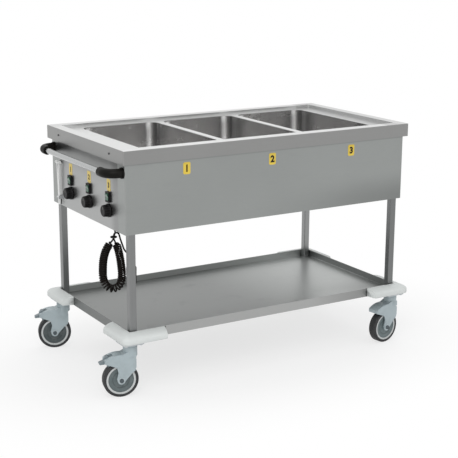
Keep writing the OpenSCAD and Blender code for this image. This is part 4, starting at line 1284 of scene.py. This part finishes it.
@dataclass
class FlutedKnob:
    """Moulded thermostat knob: thin skirt, wide fluted grip, dished face, pale pointer and spindle.

    Its profile is given as depth over the panel, radius and share of the flutes, its pointer's as way along
    the face and half width, and its spindle as radius and length, in millimetres.
    """

    number: int
    panel_x: float = -588.0
    spindle: Span = (3.0, 22.0)
    flutes: int = 10
    flute_depth: float = 1.7
    flute_power: int = 3
    sides: int = 160
    profile: tuple[Triple, ...] = (
        (0.0, 22.6, 0), (0.5, 23.6, 0), (1.2, 24.0, 0), (3.6, 24.0, 0), (4.4, 23.7, 0), (5.0, 22.9, 0),
        (5.6, 22.2, 0.3), (7.0, 21.9, 0.8), (9.5, 21.6, 1), (14.0, 21.2, 1), (18.5, 20.8, 1), (21.0, 20.4, 1),
        (22.6, 19.8, 0.8), (23.9, 18.8, 0.5), (24.6, 17.5, 0.2), (24.9, 16.0, 0), (24.7, 13.0, 0),
        (24.5, 7.0, 0), (24.5, 0.6, 0),
    )
    pointer_profile: tuple[Span, ...] = (
        (4.0, 0.5), (4.4, 1.0), (6.0, 1.25), (14.0, 1.25), (15.6, 1.0), (16.0, 0.5),
    )
    pointer_height: float = 0.8
    pointer_foot: float = -0.4
    pointer_sides: int = 12
    moulding: Finish = MouldedPlastic("knob_moulding", (0.0060, 0.0056, 0.0060), 0.36, 1500.0, 0.35, 0.12)
    ink: Finish = MouldedPlastic("pointer_ink", (0.20, 0.20, 0.19), 0.5, 1500.0, 0.3)

    def rings(self) -> Array:
        """Rings along the axis: the profile's radius less the flutes' depth times a power of a cosine.

        Returns:
            Depth over the panel and the two offsets from the axis, rings by points by 3, in millimetres.
        """
        shaft, length = self.spindle
        rows = np.array([(-length, shaft, 0), (0.0, shaft, 0), *self.profile], float)
        depth, radius, fluted = rows.T[..., None]
        turn = full_turn(self.sides)
        groove = ((1 - np.cos(self.flutes * turn)) / 2) ** self.flute_power
        radius = radius - fluted * self.flute_depth * groove
        depth = np.broadcast_to(depth, radius.shape)
        return np.stack([depth, radius * np.sin(turn), radius * np.cos(turn)], axis=-1)

    def pointer(self) -> Array:
        """Rings along the raised pointer: rounded oblongs on the knob's face, narrower at both ends.

        Returns:
            The same three measures as for the knob.
        """
        way, half = np.array(self.pointer_profile).T[..., None]
        turn = full_turn(self.pointer_sides)
        wide = half * np.cos(turn)
        risen = self.pointer_height * np.minimum(half, 1.0) * np.maximum(np.sin(turn), self.pointer_foot)
        return np.stack([self.profile[-1][0] + risen, wide, np.broadcast_to(way, wide.shape)], axis=-1)

    def placed(self, points: Array) -> Array:
        """Carries depth, sideways and upward offsets to the panel, about the middle of the knob's solid.

        Args:
            points: the three measures in millimetres.

        Returns:
            The points in metres in the shared frame.
        """
        low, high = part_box(f"knob_{self.number}")
        x = (self.panel_x - points[..., 0]) * MM + SHIFT_X
        y, z = ((low[axis] + high[axis]) / 2 + points[..., axis] * MM for axis in (1, 2))
        return np.stack([x, y, z], axis=-1)

    def build(self) -> list[bpy.types.Object]:
        """Makes the knob, which takes its solid's place, and its pointer.

        Returns:
            Both pieces.
        """
        node = f"knob_{self.number}"
        knob = Surface(f"fluted_{node}").grid(self.placed(self.rings())).build()
        pointer = Surface(f"knob_pointer_{self.number}").grid(self.placed(self.pointer())).build()
        return [dress(knob, self.moulding, node, "knob", node), dress(pointer, self.ink, node, "knob")]


@dataclass
class CornerBumper:
    """Soft moulded bumper round one corner of the tray, its top falling away to the outer face.

    Its profile is given as distance off the tray's side and height over its foot, in millimetres.
    """

    corner: Corner
    tray: Triple = (577.5, 303.0, 200.0)
    thick: float = 42.0
    arm: float = 136.0
    slant: float = 11.0
    round_radius: float = 28.0
    least_radius: float = 0.3
    arc_rings: int = 13
    arm_rings: tuple[float, ...] = (0.0, 0.006, 0.02, 0.25, 0.5, 0.75)
    end_height: Triple = (0.86, 0.96, 1.0)
    end_middle: float = 16.0
    pad_middle: Span = (570.0, 288.0)
    pad_half: float = 40.0
    pad_round: float = 6.0
    pad_thick: float = 6.0
    pad_edge: Span = (0.6, 0.985)
    profile: tuple[Span, ...] = (
        (0, 0), (12, 0), (26, 0), (38, 0), (40.5, 0.5), (42, 2), (42, 8), (42, 14), (41.2, 17.5), (39, 20.8),
        (35, 24), (29, 27.2), (22, 29.8), (14, 31.8), (6, 33), (1, 33.3), (0, 32.8), (0, 24), (0, 12),
    )
    moulding: Finish = Rubber("bumper_moulding", (0.71, 0.74, 0.73), 0.55, (0.55, 0.56, 0.55), 0.12, 0.4)

    def sweep(self) -> Array:
        """The profile carried along one arm, round the corner and along the other.

        A place off the tray's side runs straight, then on an arc of its distance less the sharp part, then
        straight. The ends are cut on a slant, and their last millimetres shrink towards a middle height.

        Returns:
            Rings by points by 3 for the corner at +X and +Y, in millimetres from the tray's corner.
        """
        off, height = np.array(self.profile, float).T
        radius = np.maximum(off - (self.thick - self.round_radius), self.least_radius)
        centre = off - radius
        end = -self.arm + self.slant * off / self.thick
        turn = np.linspace(0, np.pi / 2, self.arc_rings)[:, None]
        arc = np.stack([centre + radius * np.sin(turn), centre + radius * np.cos(turn)], axis=-1)
        way = np.array(self.arm_rings)[:, None]
        straight = end + way * (centre - end)
        first = np.stack([straight, np.broadcast_to(off, straight.shape)], axis=-1)
        plan = np.concatenate([first, arc, first[::-1, :, ::-1]])
        lower = np.array(self.end_height)
        scale = np.concatenate([lower, np.ones(len(plan) - 2 * len(lower)), lower[::-1]])[:, None]
        high = self.end_middle + (height - self.end_middle) * scale
        return np.concatenate([plan, high[..., None]], axis=-1)

    def pad(self) -> Array:
        """Rings of the pad over the caster: a square with round corners, its edges eased, from the bottom up.

        Returns:
            Rings by points by 3 for the corner at +X and +Y, in millimetres from the tray's corner.
        """
        quarters = np.arange(4)[:, None] * np.pi / 2 + np.linspace(0, np.pi / 2, 5)[None, :]
        round_part = np.stack([np.cos(quarters), np.sin(quarters)], axis=-1)
        signs = np.array([[1, 1], [-1, 1], [-1, -1], [1, -1]], float)[:, None, :]
        ring = ((self.pad_half - self.pad_round) * signs + self.pad_round * round_part).reshape(-1, 2)
        ease, inset = self.pad_edge
        scale = np.array([inset, 1.0, 1.0, inset])[:, None, None]
        height = np.array([-self.pad_thick, -self.pad_thick + ease, -ease, 0.0])[:, None, None]
        flat = ring * scale + (np.array(self.pad_middle) - self.tray[:2])
        return np.concatenate([flat, np.broadcast_to(height, (*flat.shape[:2], 1))], axis=-1)

    def placed(self, grid: Array) -> Array:
        """Mirrors a grid to the bumper's own corner, and turns its rings round where that would invert it.

        Args:
            grid: rings by points by 3, in millimetres from the tray's corner.

        Returns:
            The grid in metres in the shared frame.
        """
        along, beside = self.corner.value
        there = (grid + self.tray) * (along, beside, 1) * MM + (SHIFT_X, 0.0, 0.0)
        return there if along * beside > 0 else there[:, ::-1]

    def build(self) -> bpy.types.Object:
        """Makes the bumper with its pad, in its solid's place.

        Returns:
            The bumper.
        """
        node = f"bumper_{self.corner.name.lower()}"
        made = Surface(f"moulded_{node}")
        for grid in (self.sweep(), self.pad()):
            made.grid(self.placed(grid))
        return dress(made.build(), self.moulding, HULL, "bumper", node)


# The digits


@dataclass(frozen=True)
class PlateRow:
    """Three plates on one side: the way their digits read, the digits' height and the faces' middles."""

    name: str
    right: Triple
    height: float
    middles: tuple[Triple, Triple, Triple]


@dataclass
class PlateDigits:
    """Black digits 1, 2 and 3 on the yellow plates of the front and the control panel, in millimetres."""

    boldness: Triple = (0.030, 0.045, 0.045)
    thickness: float = 0.25
    rows: tuple[PlateRow, ...] = (
        PlateRow("front", (1, 0, 0), 25.5, ((-353, -306, 783), (-5, -306, 783), (343, -306, 783))),
        PlateRow("panel", (0, -1, 0), 19.0, ((-588.5, 138, 726), (-588.5, -21, 726), (-588.5, -180, 726))),
    )
    ink: Finish = MouldedPlastic("digit_ink", (0.016, 0.011, 0.006), 0.42, 1500.0, 0.4)

    def glyph(self, digit: int) -> tuple[bpy.types.Mesh, Array]:
        """Makes a digit of Blender's own font into a mesh, bolder by its bevel.

        Args:
            digit: 1, 2 or 3.

        Returns:
            The mesh, and its points about its middle at a height and thickness of 1.
        """
        curve = bpy.data.curves.new(f"glyph_{digit}", "FONT")
        curve.body = str(digit)
        curve.extrude = 0.01
        curve.bevel_depth = self.boldness[digit - 1]
        curve.bevel_resolution = 1
        curve.resolution_u = 5
        holder = show(f"glyph_{digit}", curve)
        mesh = bpy.data.meshes.new_from_object(holder.evaluated_get(bpy.context.evaluated_depsgraph_get()))
        bpy.data.objects.remove(holder)
        points = np.empty(len(mesh.vertices) * 3)
        mesh.vertices.foreach_get("co", points)
        points = points.reshape(-1, 3)
        low, high = points.min(0), points.max(0)
        points[:, :2] = (points[:, :2] - (low[:2] + high[:2]) / 2) / (high[1] - low[1])
        points[:, 2] /= high[2] - low[2]
        return mesh, points

    def place(self, digit: int, row: PlateRow) -> bpy.types.Object:
        """Sets one digit on its plate: its three measures go to the right, up and out of the plate.

        Args:
            digit: 1, 2 or 3.
            row: the row of plates.

        Returns:
            The digit.
        """
        mesh, points = self.glyph(digit)
        sizes = np.array([row.height, row.height, self.thickness]) * MM
        turned = (points * sizes) @ np.array([row.right, UP, np.cross(row.right, UP)])
        mesh.vertices.foreach_set("co", (at(*row.middles[digit - 1]) + turned).ravel())
        mesh.update()
        mesh.materials.clear()
        return dress(show(f"{row.name}_digit_{digit}", mesh), self.ink, HULL, "black_plastic")

    def build(self) -> list[bpy.types.Object]:
        """Makes all six digits."""
        return [self.place(digit, row) for digit in (1, 2, 3) for row in self.rows]


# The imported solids, whose finish goes by the start of a node's name, or else is black

LONG_WALL = WallPanel(
    "steel_long_panels", (0.322, 0.335, 0.328), Grain.ALONG, 0.36, clouding=0.34, cloud_scale=1.7
)
LEG = BrushedSteel("steel_legs", (0.24, 0.245, 0.245), Grain.UPRIGHT)
BLACK = MouldedPlastic("black_moulding", (0.0085, 0.0085, 0.0090), 0.42, 1100.0, shine=0.14)
FINISHES: Mapping[str, Finish] = {
    "worktop": PressedTop(
        "steel_worktop", (0.293, 0.294, 0.290), Grain.ALONG, 0.33, clouding=0.24, cloud_scale=2.2
    ),
    "well_": DrawnWell("steel_wells", (0.73, 0.725, 0.72), Grain.UPRIGHT, 0.26),
    "front_panel": LONG_WALL,
    "back_panel": LONG_WALL,
    "bottom_pan": BrushedSteel("steel_pan", (0.315, 0.325, 0.32), Grain.ALONG, 0.36),
    "control_panel": ControlWall(
        "steel_control_panel", (0.315, 0.32, 0.318), Grain.ACROSS, 0.36, clouding=0.20
    ),
    "end_panel": BrushedSteel("steel_end_panels", (0.315, 0.32, 0.318), Grain.ACROSS, 0.36, clouding=0.24),
    # Painted shade and painted light: a darker copy of the leg steel for the front right leg, a paler one for
    # the back right
    "leg_front_right": replace(LEG, name="steel_leg_shaded", colour=(0.195, 0.20, 0.20)),
    "leg_back_right": replace(LEG, name="steel_leg_lit", colour=(0.28, 0.285, 0.285)),
    "leg_": LEG,
    "shelf": TrayShelf("steel_shelf", (0.232, 0.240, 0.236), Grain.ALONG, 0.36, clouding=0.22),
    "handle_tube": PolishedSteel("handle_polish", (0.47, 0.48, 0.48)),
    "handle_bracket": MouldedPlastic("handle_moulding", (0.0060, 0.0054, 0.0044), 0.46, 1300.0, shine=0.10),
    "heaters": CastMetal("heater_mats", (0.42, 0.30, 0.20), 0.6, 0.2),
    "thermostats": MouldedPlastic("thermostat_ceramic", (0.62, 0.60, 0.54)),
    "terminal_block": MouldedPlastic("terminal_ceramic", (0.70, 0.68, 0.62), 0.45),
    "rocker_": LitRocker("rocker_lens"),
    "number_plates": PrintedLabel("plate_print"),
    "drain_manifold": CastMetal("drain_pipe", (0.55, 0.55, 0.54), 0.35, 1.0),
    "drain_valve": CastMetal("valve_metal", (0.52, 0.44, 0.26), 0.38, 1.0),
    "drain_lever": CastMetal("lever_enamel", (0.93, 0.935, 0.93), 0.32, 0.10),
    "lever_grip": MouldedPlastic("grip_moulding", (0.80, 0.81, 0.80), 0.4),
    "lever_bracket": CastMetal("bracket_plating", (0.55, 0.56, 0.57), 0.36, 0.8),
    "skirt_screws": CastMetal("screw_plating", (0.10, 0.10, 0.105), 0.40, 1.0),
    "caster_plates": CastMetal("caster_zinc", (0.52, 0.55, 0.57), 0.36, 0.7),
    "tyre_": Rubber("tyre_rubber", (0.035, 0.036, 0.038), 0.62, (0.16, 0.16, 0.16), 0.22),
    "brake_": CastMetal("brake_enamel", (0.20, 0.24, 0.26), 0.42, 0.3),
    "cord_tie": MouldedPlastic("tie_moulding", (0.012, 0.012, 0.012), 0.46),
}
FORK_COLOUR = (0.42, 0.49, 0.515)
# Painted light and shade: factors that make two wheel centres paler or darker than the others
WHEEL_LIGHT_FACTORS = {"front_right": 1.30, "back_left": 0.55}  # the other two have a tone of 1


@dataclass
class Dressing:
    """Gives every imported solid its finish."""

    nodes: Mapping[str, bpy.types.Object]
    joints: Sequence[Mapping[str, Any]]

    def rolling(self, name: str) -> Finish:
        """Finish of one wheel centre or fork, in rings about the joint that the wheel rolls on.

        Args:
            name: the node, whose name ends with its corner's.

        Returns:
            The finish.
        """
        part, corner = name.split("_", 1)
        roll = next(joint for joint in self.joints if joint["child"] == f"wheel_{corner}")
        hub, axle = tuple(roll["pos_m"]), tuple(roll["axis"])
        if part == "fork":
            return HubbedFork(f"{name}_enamel", FORK_COLOUR, 0.40, 0.25, hub, axle)
        return WheelDisc(f"{name}_finish", hub, axle, WHEEL_LIGHT_FACTORS.get(corner, 1.0))

    def finish_of(self, name: str) -> Finish:
        """Chooses a node's finish.

        Args:
            name: the node's name.

        Returns:
            The finish.
        """
        if name.startswith(("wheel_", "fork_")):
            return self.rolling(name)
        return next((finish for start, finish in FINISHES.items() if name.startswith(start)), BLACK)

    def build(self) -> None:
        """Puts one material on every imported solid."""
        used = set()
        for name, solid in self.nodes.items():
            material = material_of(self.finish_of(name))
            used.add(material.name)
            solid.data.materials.clear()
            solid.data.materials.append(material)
        log.info("finishes: %d on %d solids", len(used), len(self.nodes))


def main() -> None:
    """Builds the studio and the new pieces, logs the faces of each piece and dresses the solids."""
    logging.basicConfig(level=logging.INFO, format="%(name)s: %(message)s")
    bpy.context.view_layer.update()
    Studio().build()
    cord = CurlyCord()
    pieces = [*MouldedPlug(cord).build(), cord.build(), *PlateDigits().build()]
    for number in (1, 2, 3):
        pieces += FlutedKnob(number).build()
    pieces += [CornerBumper(corner).build() for corner in Corner]
    for piece in pieces:
        log.info("%s: %d faces", piece.name, len(piece.data.polygons))
    Dressing(frame["nodes"], frame["joints"]).build()
    bpy.context.view_layer.update()


if __name__ == "__main__":
    main()
